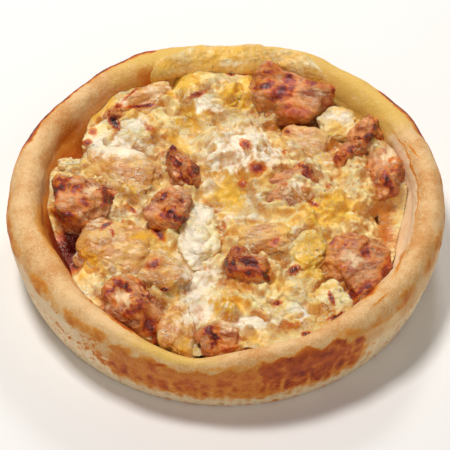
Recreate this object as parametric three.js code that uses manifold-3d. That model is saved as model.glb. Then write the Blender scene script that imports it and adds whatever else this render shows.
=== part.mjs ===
// A small round savoury tart: a hand-pressed dough case with a thick rounded rim and a pleated
// outer wall, filled with a set cream and cheese filling in which browned pieces of meat, slices
// of onion and lumps of cheese are baked.
//
// Millimetres, +Z up. The origin is at the centre of the underside. Directions round the tart are
// in degrees from +X, counterclockwise seen from above, so the front is at -90.
import * as THREE from "three";
import { mergeVertices } from "three/addons/utils/BufferGeometryUtils.js";
import Module from "manifold-3d";

const wasm = await Module();
wasm.setup();

// ---------------------------------------------------------------------------------------------
// Driving dimensions
// ---------------------------------------------------------------------------------------------

const FRONT = -90; // direction of the front
const RIM_RADIUS = 59; // outside of the rim, at its shoulder
const BASE_RADIUS = 56.2; // outside of the foot
const TART_HEIGHT = 24.3; // crest of the rim, where it stands highest
const SHOULDER_HEIGHT = 18.2; // where the outer wall turns over into the rim
const RIM_WIDTH = 9.4; // across the rounded rim
const FRONT_SPREAD = 1.1; // the foot stands out further in front
const FRONT_WIDTH = 42; // over this many degrees to either side
const FOOT_EDGE = 1.3; // rounded edge between the underside and the wall
const INNER_FOOT_RADIUS = 45; // inside of the case, just above its floor
const INNER_FOOT_HEIGHT = 7.5;
const FLOOR_RADIUS = 43;
const FLOOR_THICKNESS = 5;
const INNER_BEND_HEIGHT = 13; // a bend half way up the inner wall
const OUTER_BENDS = [
  { height: 0.38 * SHOULDER_HEIGHT, widened: 0.5 }, // share of the way from the foot to the rim
  { height: 0.72 * SHOULDER_HEIGHT, widened: 0.86 },
];

const AROUND = 120; // facets round the case
const RIM_STEPS = 6; // facets over the rim
const PLEATS = 60; // shallow pleats that the baking case pressed into the wall
const PLEAT_DEPTH = 0.3;
const PLEAT_FOOT = [0.5, 3]; // the pleats deepen between these heights
const PLEAT_HEAD = [11, 16.5]; // and fade between these

// Hand pressing: bumps of `by` mm, `at` a direction round the tart and `width` degrees wide.
const CREST_DROP = 0.4;
const CREST_BUMPS = [
  { by: -3.2, at: -92, width: 55 }, // the front is low
  { by: -2.6, at: -100, width: 14 }, // and lowest beside its middle
  { by: 0.9, at: 66, width: 12 },
  { by: -1.1, at: 91, width: 10 },
  { by: 0.6, at: 112, width: 10 },
  { by: -0.8, at: 160, width: 14 },
];
const INNER_BUMPS = [
  { by: 3, at: -92, width: 60 }, // the rim is thin in front
  { by: 2.4, at: -102, width: 15 },
  { by: -1.8, at: -148, width: 15 },
  { by: 1.5, at: 155, width: 15 },
];
const OUTER_BUMPS = [
  { by: -0.9, at: 145, width: 14 },
  { by: -0.9, at: 45, width: 12 },
  { by: 0.6, at: 29, width: 9 },
  { by: 0.5, at: 118, width: 10 },
];
const INNER_WAVE = { by: 0.3, waves: 5, phase: 1 };
const OUTER_WAVE = { by: 0.15, waves: 9, phase: 0 };
const PRESSING = [
  { by: 0.55, dents: 3.2, layer: 1.3 }, // broad dents
  { by: 0.35, dents: 8.64, layer: 4.6 }, // small ones
];

const GAP = 0.4; // between neighbouring pieces
const BEDDED = 0.28; // a piece's flat underside lies this share of its height below its middle
const FILLING_RINGS = 10;
const SIDES_PER_RING = 6;
const WALL_STEPS = 3; // rows down the side of the filling
const FILLING_LEVEL = 15; // middle of the filling
const FILLING_SLOPE = 0.03; // it stands higher at the back
const WALL_CLIMB = 18; // as high as the filling reaches up the inner wall
const BACK_CLIMB = 2.6; // it reaches this much higher at the back, where cheese has run over the rim
const BACK_CLIMB_AT = { at: 104, width: 26 };
const EDGE_INSET = 3; // the level at the wall is taken this far outside the case's inner foot
const SMALL_RELIEF = { by: 1.1, size: 5, start: [3.7, 8.1, 0.5] }; // uneven surface of the filling

// ---------------------------------------------------------------------------------------------
// Small helpers
// ---------------------------------------------------------------------------------------------

const { clamp, degToRad, lerp, radToDeg, smoothstep } = THREE.MathUtils;

// A bump of height 1, `at` a direction round the tart and `width` wide, both in degrees.
function lobe(theta, { at, width }) {
  const away = ((radToDeg(theta) - at + 540) % 360) - 180;
  return Math.exp(-((away / width) ** 2));
}

const bumpSum = (theta, bumps) => bumps.reduce((sum, bump) => sum + bump.by * lobe(theta, bump), 0);
const wave = (theta, { by, waves, phase }) => by * Math.cos(waves * theta + phase);

// A repeatable number from 0 to 1 for a seed and a counter.
const SCATTER = { seed: 12.9898, counter: 78.233, stretch: 43758.5453 };

function fraction(seed, counter) {
  const value = Math.sin(seed * SCATTER.seed + counter * SCATTER.counter) * SCATTER.stretch;
  return value - Math.floor(value);
}

// A smooth, repeatable unevenness between -1 and 1, with hills about two units apart: the mean of
// waves that cross each other.
const WAVES = [
  { along: [3.1, 1.7, 0.9], phase: 1 },
  { along: [-1.9, 3.3, 1.3], phase: 2.3 },
  { along: [1.1, -2.1, 3.4], phase: 4.1 },
  { along: [2.7, 0.6, -2.9], phase: 0.6 },
];

function ripple(x, y, z) {
  const heights = WAVES.map(({ along: [a, b, c], phase }) => Math.sin(a * x + b * y + c * z + phase));
  return heights.reduce((sum, height) => sum + height, 0) / WAVES.length;
}

// A closed geometry with one vertex for each corner, and no facets of no area.
function weld(geometry) {
  const bare = geometry.clone();
  for (const name of Object.keys(bare.attributes)) {
    if (name !== "position") bare.deleteAttribute(name);
  }
  const welded = mergeVertices(bare, 1e-3);
  const corners = [];
  for (let i = 0; i < welded.index.count; i += 3) {
    const [a, b, c] = welded.index.array.slice(i, i + 3);
    if (a !== b && b !== c && c !== a) corners.push(a, b, c);
  }
  return welded.setIndex(corners);
}

// Moves every vertex of a geometry to where `place` puts it.
function reshape(geometry, place) {
  const position = geometry.attributes.position;
  const point = new THREE.Vector3();
  for (let i = 0; i < position.count; i++) {
    place(point.fromBufferAttribute(position, i), i);
    position.setXYZ(i, point.x, point.y, point.z);
  }
  return geometry;
}

function solidOf(geometry) {
  const welded = weld(geometry);
  return new wasm.Manifold(
    new wasm.Mesh({
      numProp: 3,
      vertProperties: welded.attributes.position.array,
      triVerts: new Uint32Array(welded.index.array),
    }),
  );
}

// The largest body of a solid, for a cut may leave loose scraps.
function largest(solid) {
  return solid.decompose().reduce((a, b) => (b.volume() > a.volume() ? b : a));
}

function geometryOf(solid) {
  const mesh = solid.getMesh();
  const geometry = new THREE.BufferGeometry();
  geometry.setAttribute("position", new THREE.BufferAttribute(mesh.vertProperties, 3));
  geometry.setIndex(new THREE.BufferAttribute(mesh.triVerts, 1));
  geometry.computeVertexNormals();
  return geometry;
}

function meshOf(name, solid, material) {
  const mesh = new THREE.Mesh(geometryOf(solid), material);
  mesh.name = name;
  return mesh;
}

// ---------------------------------------------------------------------------------------------
// Finishes
// ---------------------------------------------------------------------------------------------

const finish = (color, roughness) => new THREE.MeshStandardMaterial({ color, roughness, metalness: 0 });
const FINISHES = {
  crust: finish(0xdfae6c, 0.75),
  filling: finish(0xf0d58f, 0.4),
  meat: finish(0xb8763c, 0.45),
  onion: finish(0xe6c678, 0.3),
  cheese: finish(0xf3e2b8, 0.4),
};

// ---------------------------------------------------------------------------------------------
// Dough case: one cross-section, which leans and sags by hand's breadth round the tart
// ---------------------------------------------------------------------------------------------

// How far the crest stands above or below its full height.
const crestShift = (theta) => bumpSum(theta, CREST_BUMPS) - CREST_DROP;

// How far the inside and the outside of the rim move outwards.
const innerShift = (theta) => bumpSum(theta, INNER_BUMPS) + wave(theta, INNER_WAVE);
const outerShift = (theta) => bumpSum(theta, OUTER_BUMPS) + wave(theta, OUTER_WAVE);

// How far hand pressing moves the dough's surface, in and out round the tart.
function pressing(theta, side) {
  return PRESSING.reduce((sum, { by, dents, layer }) => {
    return sum + by * ripple(dents * Math.cos(theta), dents * Math.sin(theta), layer + side);
  }, 0);
}

// A point of the cross-section at direction `theta`. `side` is 0 outside and 1 inside.
function doughPoint(theta, radius, height, side) {
  const share = (height / TART_HEIGHT) * Math.min(1, radius / FLOOR_RADIUS);
  const shift = (lerp(outerShift(theta), innerShift(theta), side) + pressing(theta, side)) * share;
  const fluting = smoothstep(height, ...PLEAT_FOOT) * (1 - smoothstep(height, ...PLEAT_HEAD)) * (1 - side);
  const pleat = PLEAT_DEPTH * fluting * Math.cos(PLEATS * theta);
  const spread = FRONT_SPREAD * lobe(theta, { at: FRONT, width: FRONT_WIDTH }) * (1 - share) * (1 - side);
  const r = radius + shift + pleat + spread * Math.min(1, radius / BASE_RADIUS);
  const z = height + (crestShift(theta) + pressing(theta, 2)) * share ** 2;
  return new THREE.Vector3(r * Math.cos(theta), r * Math.sin(theta), z);
}

// The rounded rim is half an ellipse, from the shoulder (angle 0) over the crest to the inside (pi).
function rimSection(angle, grow) {
  const centre = RIM_RADIUS - RIM_WIDTH / 2;
  const radius = centre + (RIM_WIDTH / 2 + grow) * Math.cos(angle);
  const height = SHOULDER_HEIGHT + (TART_HEIGHT - SHOULDER_HEIGHT + grow) * Math.sin(angle);
  return { radius, height, side: (1 - Math.cos(angle)) / 2 };
}

// The inner wall's radius in the plain cross-section, from its foot up into the rim.
function innerWall(height) {
  const up = clamp((height - INNER_FOOT_HEIGHT) / (SHOULDER_HEIGHT - INNER_FOOT_HEIGHT), 0, 1);
  const foot = clamp((height - FLOOR_THICKNESS) / (INNER_FOOT_HEIGHT - FLOOR_THICKNESS), 0, 1);
  const over = clamp((height - SHOULDER_HEIGHT) / (TART_HEIGHT - SHOULDER_HEIGHT), 0, 1);
  const turned = (RIM_WIDTH / 2) * (1 - Math.sqrt(1 - over ** 2));
  const rise = (RIM_RADIUS - RIM_WIDTH - INNER_FOOT_RADIUS) * up;
  return lerp(FLOOR_RADIUS, INNER_FOOT_RADIUS, foot) + rise + turned;
}

// The closed cross-section, from the middle of the underside round to the middle of the floor.
function caseSection(grow) {
  const rows = [
    { radius: 0, height: -grow, side: 0 },
    { radius: BASE_RADIUS - FOOT_EDGE, height: -grow, side: 0 },
    { radius: BASE_RADIUS + grow, height: FOOT_EDGE, side: 0 },
  ];
  for (const { height, widened } of OUTER_BENDS) {
    rows.push({ radius: lerp(BASE_RADIUS, RIM_RADIUS, widened) + grow, height, side: 0 });
  }
  for (let i = 0; i <= RIM_STEPS; i++) rows.push(rimSection((Math.PI * i) / RIM_STEPS, grow));
  for (const height of [INNER_BEND_HEIGHT, INNER_FOOT_HEIGHT, FLOOR_THICKNESS]) {
    rows.push({ radius: innerWall(height) - grow, height: height + grow / 2, side: 1 });
  }
  rows.push({ radius: 0, height: FLOOR_THICKNESS + grow, side: 1 });
  return rows;
}

// The dough case, `grow` thicker all over.
function caseGeometry(grow = 0) {
  const rows = caseSection(grow);
  const lathe = new THREE.LatheGeometry(
    rows.map((row) => new THREE.Vector2(row.radius, row.height)),
    AROUND,
  );
  return reshape(lathe, (point, i) => {
    const row = rows[i % rows.length];
    const turn = Math.floor(i / rows.length) % AROUND;
    point.copy(doughPoint((2 * Math.PI * turn) / AROUND, row.radius, row.height, row.side));
  });
}

// ---------------------------------------------------------------------------------------------
// Filling: a disc whose surface rises and falls with the pieces baked into it
// ---------------------------------------------------------------------------------------------

// Mounds (rise above 0) and hollows (below 0) of the filling: place, reach along and across, turn.
const SWELLS = [
  { at: [7, 15], reach: [13, 11], turn: -40, rise: 2.2 }, // under the pale mound near the middle
  { at: [-30, 24], reach: [13, 9], turn: 20, rise: 2.4 }, // under the creamy mound, back left
  { at: [-8, 42], reach: [18, 8], turn: 0, rise: 4 }, // melted cheese, back
  { at: [32, -3], reach: [12, 10], turn: 0, rise: 2.2 }, // yellow cheese, right
  { at: [18, 2], reach: [11, 9], turn: 30, rise: 1.6 }, // under the pale piece
  { at: [10, -38], reach: [22, 8], turn: 5, rise: 1.8 }, // cream along the front
  { at: [-34, 8], reach: [12, 7], turn: -15, rise: 1.6 }, // under the slice, left
  { at: [-29, -20], reach: [10, 9], turn: 0, rise: 1.6 }, // under the round slice, left
  { at: [40, 14], reach: [8, 16], turn: 0, rise: 2.2 }, // under the right-hand meat
  { at: [-42, -14], reach: [7, 10], turn: -25, rise: -7 }, // deep gap, left
  { at: [-44, 23], reach: [6, 9.5], turn: 25, rise: -8 }, // gap at the wall, back left
  { at: [-20, 46.5], reach: [9, 5.5], turn: -20, rise: -8 }, // second gap at the wall
  { at: [25, 28], reach: [12, 4], turn: -12, rise: -6 }, // hollow before the large meat
  { at: [44, -8], reach: [5, 8], turn: 10, rise: -5.5 }, // gap, right
  { at: [38, -33], reach: [9, 3.5], turn: 42, rise: -4.5 }, // gap behind the front rim
  { at: [-3, -22], reach: [9, 12], turn: 20, rise: -1.2 }, // pool of cream
  { at: [-16.5, -44], reach: [2.5, 7], turn: 10, rise: -3.5 }, // cleft beside the wedge
  { at: [-22, 16], reach: [5, 4], turn: 0, rise: -1.6 }, // dimple behind the tips
  { at: [8, -6.5], reach: [7, 4], turn: -20, rise: -1.2 }, // dimple before the pale piece
];

function swell({ at, reach, turn, rise }, x, y) {
  const angle = degToRad(turn);
  const along = ((x - at[0]) * Math.cos(angle) + (y - at[1]) * Math.sin(angle)) / reach[0];
  const across = ((y - at[1]) * Math.cos(angle) - (x - at[0]) * Math.sin(angle)) / reach[1];
  return rise * Math.exp(-(along ** 2 + across ** 2));
}

// Height of the filling's surface.
function fillingHeight(x, y) {
  const { by, size, start } = SMALL_RELIEF;
  const lumps = by * ripple(x / size + start[0], y / size + start[1], start[2]);
  const swells = SWELLS.reduce((sum, one) => sum + swell(one, x, y), 0);
  return FILLING_LEVEL + FILLING_SLOPE * y + swells + lumps;
}

// Where the filling meets the inner wall at direction `theta`, `down` of the way to the floor.
function fillingEdge(theta, down) {
  const middle = INNER_FOOT_RADIUS + EDGE_INSET;
  const level = fillingHeight(middle * Math.cos(theta), middle * Math.sin(theta));
  const backClimb = BACK_CLIMB * lobe(theta, BACK_CLIMB_AT);
  const top = clamp(level - crestShift(theta) / 2, INNER_FOOT_HEIGHT + 1, WALL_CLIMB) + backClimb;
  const height = lerp(top, FLOOR_THICKNESS + GAP, down);
  return doughPoint(theta, innerWall(height) - GAP, height, 1);
}

// Rings of vertices, each with six more than the last, for the surface; then rows down the side.
function fillingGeometry() {
  const points = [new THREE.Vector3(0, 0, fillingHeight(0, 0))];
  const index = [];
  const ringStart = (ring) => (ring === 0 ? 0 : 1 + (SIDES_PER_RING * ring * (ring - 1)) / 2);
  for (let ring = 1; ring <= FILLING_RINGS; ring++) {
    const count = SIDES_PER_RING * ring;
    for (let k = 0; k < count; k++) {
      const theta = (2 * Math.PI * k) / count;
      const point = fillingEdge(theta, 0);
      if (ring < FILLING_RINGS) {
        point.multiplyScalar(ring / FILLING_RINGS);
        point.z = fillingHeight(point.x, point.y);
      }
      points.push(point);
    }
    // Each side of the ring: `ring` outer steps against `ring - 1` inner ones.
    for (let side = 0; side < SIDES_PER_RING; side++) {
      for (let k = 0; k < ring; k++) {
        const outer = (n) => ringStart(ring) + ((side * ring + n) % count);
        const innerCount = Math.max(1, SIDES_PER_RING * (ring - 1));
        const inner = (n) => ringStart(ring - 1) + ((side * (ring - 1) + n) % innerCount);
        index.push(inner(k), outer(k), outer(k + 1));
        if (k < ring - 1) index.push(inner(k), outer(k + 1), inner(k + 1));
      }
    }
  }
  const count = SIDES_PER_RING * FILLING_RINGS;
  const rim = ringStart(FILLING_RINGS);
  for (let row = 1; row <= WALL_STEPS; row++) {
    for (let k = 0; k < count; k++) {
      points.push(fillingEdge((2 * Math.PI * k) / count, row / WALL_STEPS));
      const next = (k + 1) % count;
      const upper = rim + (row - 1) * count;
      const lower = rim + row * count;
      index.push(upper + k, lower + k, lower + next);
      index.push(upper + k, lower + next, upper + next);
    }
  }
  const foot = rim + WALL_STEPS * count;
  points.push(new THREE.Vector3(0, 0, FLOOR_THICKNESS + GAP));
  for (let k = 0; k < count; k++) index.push(foot + ((k + 1) % count), foot + k, points.length - 1);
  return new THREE.BufferGeometry().setFromPoints(points).setIndex(index);
}

// ---------------------------------------------------------------------------------------------
// Pieces baked into the filling
// ---------------------------------------------------------------------------------------------

// Each is an uneven lump: a box in which `cuts` slanting planes have taken off the corners.
//   at     centre                       size    length, width, height
//   yaw    turn about the vertical      tilt    lean about its length, then about its width
//   bend   rise of its middle above its ends, for slices and flaps
//   peaks  raised tips: place, rise and width of each, seen from above
//   detail splits of each edge of the icosahedron that the lump starts from
const CHUNK = { finish: "meat", cuts: 7, sharpness: 14, roughness: 0.13, detail: 2, bend: 0, peaks: [] };
const BIT = { ...CHUNK, detail: 1 };
const SLICE = { ...CHUNK, finish: "onion", cuts: 4, sharpness: 7, roughness: 0.11, bend: 1 };
const CHEESE = { ...CHUNK, finish: "cheese", cuts: 4, sharpness: 5, roughness: 0.15 };
const CRUMB = { ...CHEESE, detail: 1 };
const PIECES = {
  meat_left: {
    ...CHUNK, at: [-38.4, -1.2, 15.6], size: [20.5, 17, 14.5], yaw: -6, tilt: [12, 4],
    peaks: [[-44.6, 0.5, 1.8, 3], [-32.6, -1.2, 3, 2.8]],
  },
  meat_back: {
    ...CHUNK, at: [17.6, 38, 16.3], size: [28, 16.5, 16], yaw: -14, tilt: [16, 4],
    peaks: [[11.5, 43, 1.4, 3], [20, 43.5, 1.2, 4]],
  },
  meat_right_front: {
    ...CHUNK, at: [34.8, -22.8, 14.8], size: [20.5, 18, 14], yaw: 40, tilt: [8, 0],
    peaks: [[28.3, -17.2, 2.2, 3], [37, -17.8, 1.2, 3]],
  },
  meat_right: {
    ...CHUNK, at: [43, 9, 15.4], size: [21, 12.5, 13], yaw: 82, tilt: [0, 6],
    peaks: [[45.5, 4.5, 1.8, 3], [40.5, 14, 1, 3]],
  },
  meat_front_left: {
    ...CHUNK, at: [-24, -38.2, 14.2], size: [20.5, 15.5, 14.5], yaw: -46, tilt: [0, 6],
    peaks: [[-27.5, -34.8, 2, 3], [-21.2, -41, 2, 3]],
  },
  meat_middle: {
    ...CHUNK, at: [6, -24.6, 15.2], size: [14, 10.5, 10.5], yaw: -32, tilt: [10, 0],
    peaks: [[3, -23.2, 2.4, 2.8], [9, -28, 1.6, 2.8]],
  },
  meat_left_middle: {
    ...CHUNK, at: [-15.2, -5.2, 15.5], size: [13, 13, 12.5], yaw: -38, tilt: [8, 0],
    peaks: [[-17.4, -3.4, 1.8, 2.6], [-13.6, -8.8, 1.5, 2.6]],
  },
  meat_tips: {
    ...CHUNK, at: [-12.1, 8.8, 17], size: [15, 8.5, 12.5], yaw: -62, tilt: [0, 14],
    peaks: [[-14.8, 11.6, 3, 2.4], [-9.4, 7.2, 2.2, 2.4]],
  },
  meat_front: {
    ...BIT, at: [-1.2, -47.2, 13], size: [13.6, 10, 10.5], yaw: -14, tilt: [14, 0],
    peaks: [[-4.4, -46.6, 1.6, 2.8]],
  },
  meat_upper_right: {
    ...BIT, at: [39.4, 24, 17.8], size: [11, 8.5, 10], yaw: 32, tilt: [0, 0],
    peaks: [[41.3, 23.8, 1.8, 2.8]],
  },
  meat_ridge: {
    ...BIT, at: [33.8, 15, 16.8], size: [13, 8, 9.5], yaw: 38, tilt: [0, 0],
    peaks: [[31.2, 13.4, 1.8, 2.6], [36.2, 16, 1.2, 2.6]],
  },
  meat_pale: {
    ...CHUNK, at: [17.8, 4, 15.2], size: [19, 16.5, 12.5], yaw: 28, tilt: [10, 0], sharpness: 6,
    peaks: [[22, 8.6, 1.6, 2.8]],
  },
  meat_curl: {
    ...BIT, at: [-31.7, 29.6, 17.2], size: [9.5, 6.5, 8.5], yaw: 70, tilt: [0, 0],
    peaks: [[-31.7, 28.8, 1.6, 2.6]],
  },
  slice_round: { ...SLICE, at: [-30, -17.6, 14.5], size: [20, 18.5, 9.5], yaw: -20, tilt: [12, -5] },
  slice_left: { ...SLICE, at: [-28.4, 9.4, 16.6], size: [24, 15.5, 6.5], yaw: -22, tilt: [14, 0] },
  slice_back_left: { ...SLICE, at: [-23.2, 38, 16.8], size: [17, 10, 8], yaw: 18, tilt: [34, 0] },
  slice_back_right: { ...SLICE, at: [22.4, 21.6, 16.4], size: [16, 11.5, 5], yaw: -28, tilt: [10, 6] },
  slice_middle: { ...SLICE, at: [11, -14.2, 15.3], size: [16, 11, 5.6], yaw: 6, tilt: [6, 0] },
  slice_wedge: { ...SLICE, at: [-11.7, -42.4, 13.4], size: [19, 9.6, 8.5], yaw: 84, tilt: [-8, 8] },
  slice_small: { ...SLICE, at: [-16.4, -25.8, 14.7], size: [14, 12.5, 9], yaw: -24, tilt: [8, 0] },
  cheese_mound: { ...CHEESE, at: [6.6, 16.4, 15.6], size: [24, 19.5, 9], yaw: -42, tilt: [6, 0] },
  cheese_lump: { ...CHEESE, at: [-6.9, -12.8, 14.6], size: [15, 23, 9.5], yaw: 12, tilt: [0, 0] },
  cheese_creamy: { ...CHEESE, at: [-29, 23.8, 16.4], size: [24.5, 16, 8], yaw: 22, tilt: [8, 0] },
  cheese_back: { ...CHEESE, at: [-6.5, 37.5, 16.8], size: [22, 15, 8], yaw: -8, tilt: [6, 0] },
  cheese_flap: { ...CRUMB, at: [32, 28.4, 17], size: [13, 11.5, 6], yaw: 20, tilt: [6, 0] },
  cheese_sheet: { ...CHEESE, at: [31, -3.4, 15.9], size: [23, 16, 6], yaw: 12, tilt: [4, 4], bend: 0.6 },
  cheese_yellow: { ...CRUMB, at: [21.2, -19.4, 15], size: [12, 14, 8], yaw: 10, tilt: [4, 0] },
  cheese_front: { ...CHEESE, at: [12, -38.4, 14], size: [24, 14, 7.5], yaw: 6, tilt: [6, 0] },
  cheese_corner: { ...CRUMB, at: [27, -35, 14.4], size: [11, 11.5, 8], yaw: 20, tilt: [6, 0] },
  cheese_crumb: { ...CRUMB, at: [-42.2, 13.2, 15.6], size: [9.5, 6, 6], yaw: -10, tilt: [0, 0] },
};

// The slanting cuts: how steeply they lean, how close they come to the middle of a box 2 on each
// side, and how unevenly they are spread round it.
const CUTS = { lean: [-0.25, 0.85], close: [0.78, 1.02], uneven: 0.8 };

// The planes that bound a lump, for a box 2 on each side: six faces and the slanting cuts.
function cutPlanes(cuts, seed) {
  const planes = [
    [1, 0, 0], [-1, 0, 0], [0, 1, 0], [0, -1, 0], [0, 0, 1], [0, 0, -1],
  ].map((axis) => ({ normal: new THREE.Vector3(...axis), distance: 1 }));
  for (let i = 0; i < cuts; i++) {
    const height = lerp(...CUTS.lean, fraction(seed, 3 * i));
    const angle = (2 * Math.PI * (i + CUTS.uneven * fraction(seed, 3 * i + 1))) / cuts;
    const flat = Math.sqrt(1 - height ** 2);
    planes.push({
      normal: new THREE.Vector3(flat * Math.cos(angle), flat * Math.sin(angle), height),
      distance: lerp(...CUTS.close, fraction(seed, 3 * i + 2)),
    });
  }
  return planes;
}

// Broad and small unevenness of a lump in a direction from its centre.
const CRAGS = { broad: 2.1, small: 4.7, smallShare: 0.45, layer: 0.5 };

function craggy({ x, y, z }, seed) {
  const { broad, small, smallShare, layer } = CRAGS;
  const hills = ripple(x * broad + seed, y * broad, z * broad + layer);
  return hills + smallShare * ripple(x * small, y * small + seed, z * small + layer);
}

// Height that a piece's peaks add to its upper side at a point.
function peaksAt(piece, point) {
  const upper = smoothstep(point.z - piece.at[2], 0, piece.size[2] / 2);
  const tips = piece.peaks.map(([x, y, rise, width]) => {
    return rise * Math.exp(-((point.x - x) ** 2 + (point.y - y) ** 2) / width ** 2);
  });
  return upper * tips.reduce((sum, tip) => sum + tip, 0);
}

const DROOP_ACROSS = 0.5; // a bent piece droops this much less across its width

// A piece's solid, `grow` larger all round, with a flat underside.
function lumpSolid(piece, seed, grow) {
  const planes = cutPlanes(piece.cuts, seed);
  const half = piece.size.map((side) => side / 2 + grow);
  const turn = new THREE.Matrix4()
    .makeTranslation(...piece.at)
    .multiply(new THREE.Matrix4().makeRotationZ(degToRad(piece.yaw)))
    .multiply(new THREE.Matrix4().makeRotationX(degToRad(piece.tilt[0])))
    .multiply(new THREE.Matrix4().makeRotationY(degToRad(piece.tilt[1])));
  const ball = weld(new THREE.IcosahedronGeometry(1, piece.detail));
  reshape(ball, (point) => {
    const direction = point.clone().normalize();
    const towards = planes.map(({ normal, distance }) => Math.max(0, direction.dot(normal) / distance));
    const sum = towards.reduce((total, share) => total + share ** piece.sharpness, 0);
    const reach = sum ** (-1 / piece.sharpness);
    const rough = craggy(direction, seed);
    point.copy(direction).multiplyScalar(reach * (1 + piece.roughness * rough));
    const droop = piece.bend * (1 - point.x ** 2 - DROOP_ACROSS * point.y ** 2);
    point.set(point.x * half[0], point.y * half[1], point.z * half[2] + droop);
    point.applyMatrix4(turn);
    point.z += peaksAt(piece, point);
  });
  return solidOf(ball).trimByPlane([0, 0, 1], piece.at[2] - BEDDED * piece.size[2] - grow);
}

// Cheese that has run over the back of the rim: a thin uneven skin that follows the rim.
const RUN_OVER = {
  from: 54, // degrees round the tart
  to: 116,
  steps: 18,
  across: 4,
  low: 0.98, // its lower edge, as a share of the way over the rim from outside to inside
  high: 0.38, // its upper edge, in the middle
  least: 0.1, // it is at least this much of the rim wide
  tongues: { by: 0.12, count: 9, start: 0.5, layer: 2.5 }, // its ragged upper edge
  taper: { by: 0.45, power: 3 }, // it narrows towards its ends
  thickness: 1,
  edgeShare: 0.45, // of the thickness, at its edges
  edgePower: 8, // how close to its edges it thins
  lumps: { by: 0.3, along: 9, across: 3, layer: 0.5 },
};

function runOverSolid(grow) {
  const { from, to, steps, across, low, high, least, tongues, taper, lumps } = RUN_OVER;
  const sheet = weld(new THREE.BoxGeometry(1, 1, 1, steps, across, 1));
  reshape(sheet, (point) => {
    const theta = degToRad(lerp(from, to, point.x + 0.5));
    const ragged = tongues.by * ripple(tongues.count * (point.x + 0.5), tongues.start, tongues.layer);
    const top = high + ragged + taper.by * Math.abs(2 * point.x) ** taper.power;
    const angle = Math.PI * lerp(low, Math.min(top, low - least), 0.5 - point.y);
    const edge = (1 - (2 * point.x) ** RUN_OVER.edgePower) * (1 - (2 * point.y) ** RUN_OVER.edgePower);
    const uneven = 1 + lumps.by * ripple(lumps.along * point.x, lumps.across * point.y, lumps.layer);
    const thick = RUN_OVER.thickness * lerp(RUN_OVER.edgeShare, 1, edge) * uneven;
    const lift = GAP - grow + (point.z + 0.5) * (thick + 2 * grow);
    const { radius, height, side } = rimSection(angle, lift);
    point.copy(doughPoint(theta, radius, height, side));
  });
  return solidOf(sheet);
}

// ---------------------------------------------------------------------------------------------
// Assembly: each piece is cut clear of the case and of the pieces before it
// ---------------------------------------------------------------------------------------------

const tart = new THREE.Group();
tart.add(meshOf("crust", largest(solidOf(caseGeometry())), FINISHES.crust));

const caseClearance = solidOf(caseGeometry(GAP));
const clearances = [];
const cutClear = (solid) => clearances.reduce((rest, near) => rest.subtract(near), solid);

tart.add(meshOf("cheese_run_over", largest(runOverSolid(0)), FINISHES.cheese));
clearances.push(runOverSolid(GAP));
Object.entries(PIECES).forEach(([name, piece], i) => {
  const solid = cutClear(lumpSolid(piece, i + 1, 0).subtract(caseClearance));
  tart.add(meshOf(name, largest(solid), FINISHES[piece.finish]));
  clearances.push(lumpSolid(piece, i + 1, GAP));
});
tart.add(meshOf("filling", largest(cutClear(solidOf(fillingGeometry()))), FINISHES.filling));

// The origin is under the middle of the tart's outline.
const bounds = new THREE.Box3().setFromObject(tart);
tart.position.set(-(bounds.min.x + bounds.max.x) / 2, -(bounds.min.y + bounds.max.y) / 2, -bounds.min.z);

export default tart;
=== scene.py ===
"""A small round savoury tart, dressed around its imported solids.

A hand-pressed dough case with a thick rounded rim holds set cream and melted cheese, in which
browned chunks of meat, cooked onion slices and lumps of cheese are baked. Sizes are millimetres in
the part's own frame, +Z up and the low front of the rim towards -Y, until a piece is finished.
"""

from __future__ import annotations

import logging
import math
from dataclasses import dataclass, field
from enum import Enum
from typing import Sequence

import bmesh
import bpy
import numpy as np
from mathutils import Matrix, Vector, noise


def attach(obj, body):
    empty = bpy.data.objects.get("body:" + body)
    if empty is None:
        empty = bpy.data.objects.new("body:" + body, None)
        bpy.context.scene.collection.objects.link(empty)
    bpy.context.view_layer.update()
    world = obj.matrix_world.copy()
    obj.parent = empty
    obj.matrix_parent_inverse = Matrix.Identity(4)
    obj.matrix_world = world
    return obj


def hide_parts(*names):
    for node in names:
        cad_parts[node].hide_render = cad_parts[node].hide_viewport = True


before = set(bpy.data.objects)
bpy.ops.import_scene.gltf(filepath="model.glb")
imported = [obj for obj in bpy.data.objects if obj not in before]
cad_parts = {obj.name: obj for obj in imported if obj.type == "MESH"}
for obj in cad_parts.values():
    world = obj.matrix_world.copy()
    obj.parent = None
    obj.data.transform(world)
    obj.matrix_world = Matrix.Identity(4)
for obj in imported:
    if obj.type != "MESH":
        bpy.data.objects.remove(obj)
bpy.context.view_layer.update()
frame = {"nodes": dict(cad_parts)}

log = logging.getLogger("tart")

METRES = 0.001  # one millimetre
GAP = 0.4  # between neighbouring pieces
ORIGIN_SHIFT = np.array([-0.017, 0.094, 0.0])  # brings the middle of the outline to the origin

Number = float | np.ndarray  # one value, or one for each point
Size = float | Sequence[float]  # one size, or one for each axis
Triple = tuple[float, float, float]
Colour = tuple[float, float, float, float]
Socket = bpy.types.NodeSocket


# ---------------------------------------------------------------------------------------------
# Small helpers
# ---------------------------------------------------------------------------------------------


def lerp(a: Number, b: Number, share: Number) -> Number:
    """The value a share of the way from a to b."""
    return a + (b - a) * share


def smoothstep(x: Number, low: Number, high: Number) -> Number:
    """0 below low, 1 above high, and a smooth rise between them (a fall where high is lower)."""
    t = np.clip((x - low) / (high - low), 0.0, 1.0)
    return t * t * (3.0 - 2.0 * t)


def fraction(seed: float, counter: float) -> float:
    """A repeatable number from 0 to 1 for a seed and a counter."""
    value = math.sin(seed * 12.9898 + counter * 78.233) * 43758.5453
    return value - math.floor(value)


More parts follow.
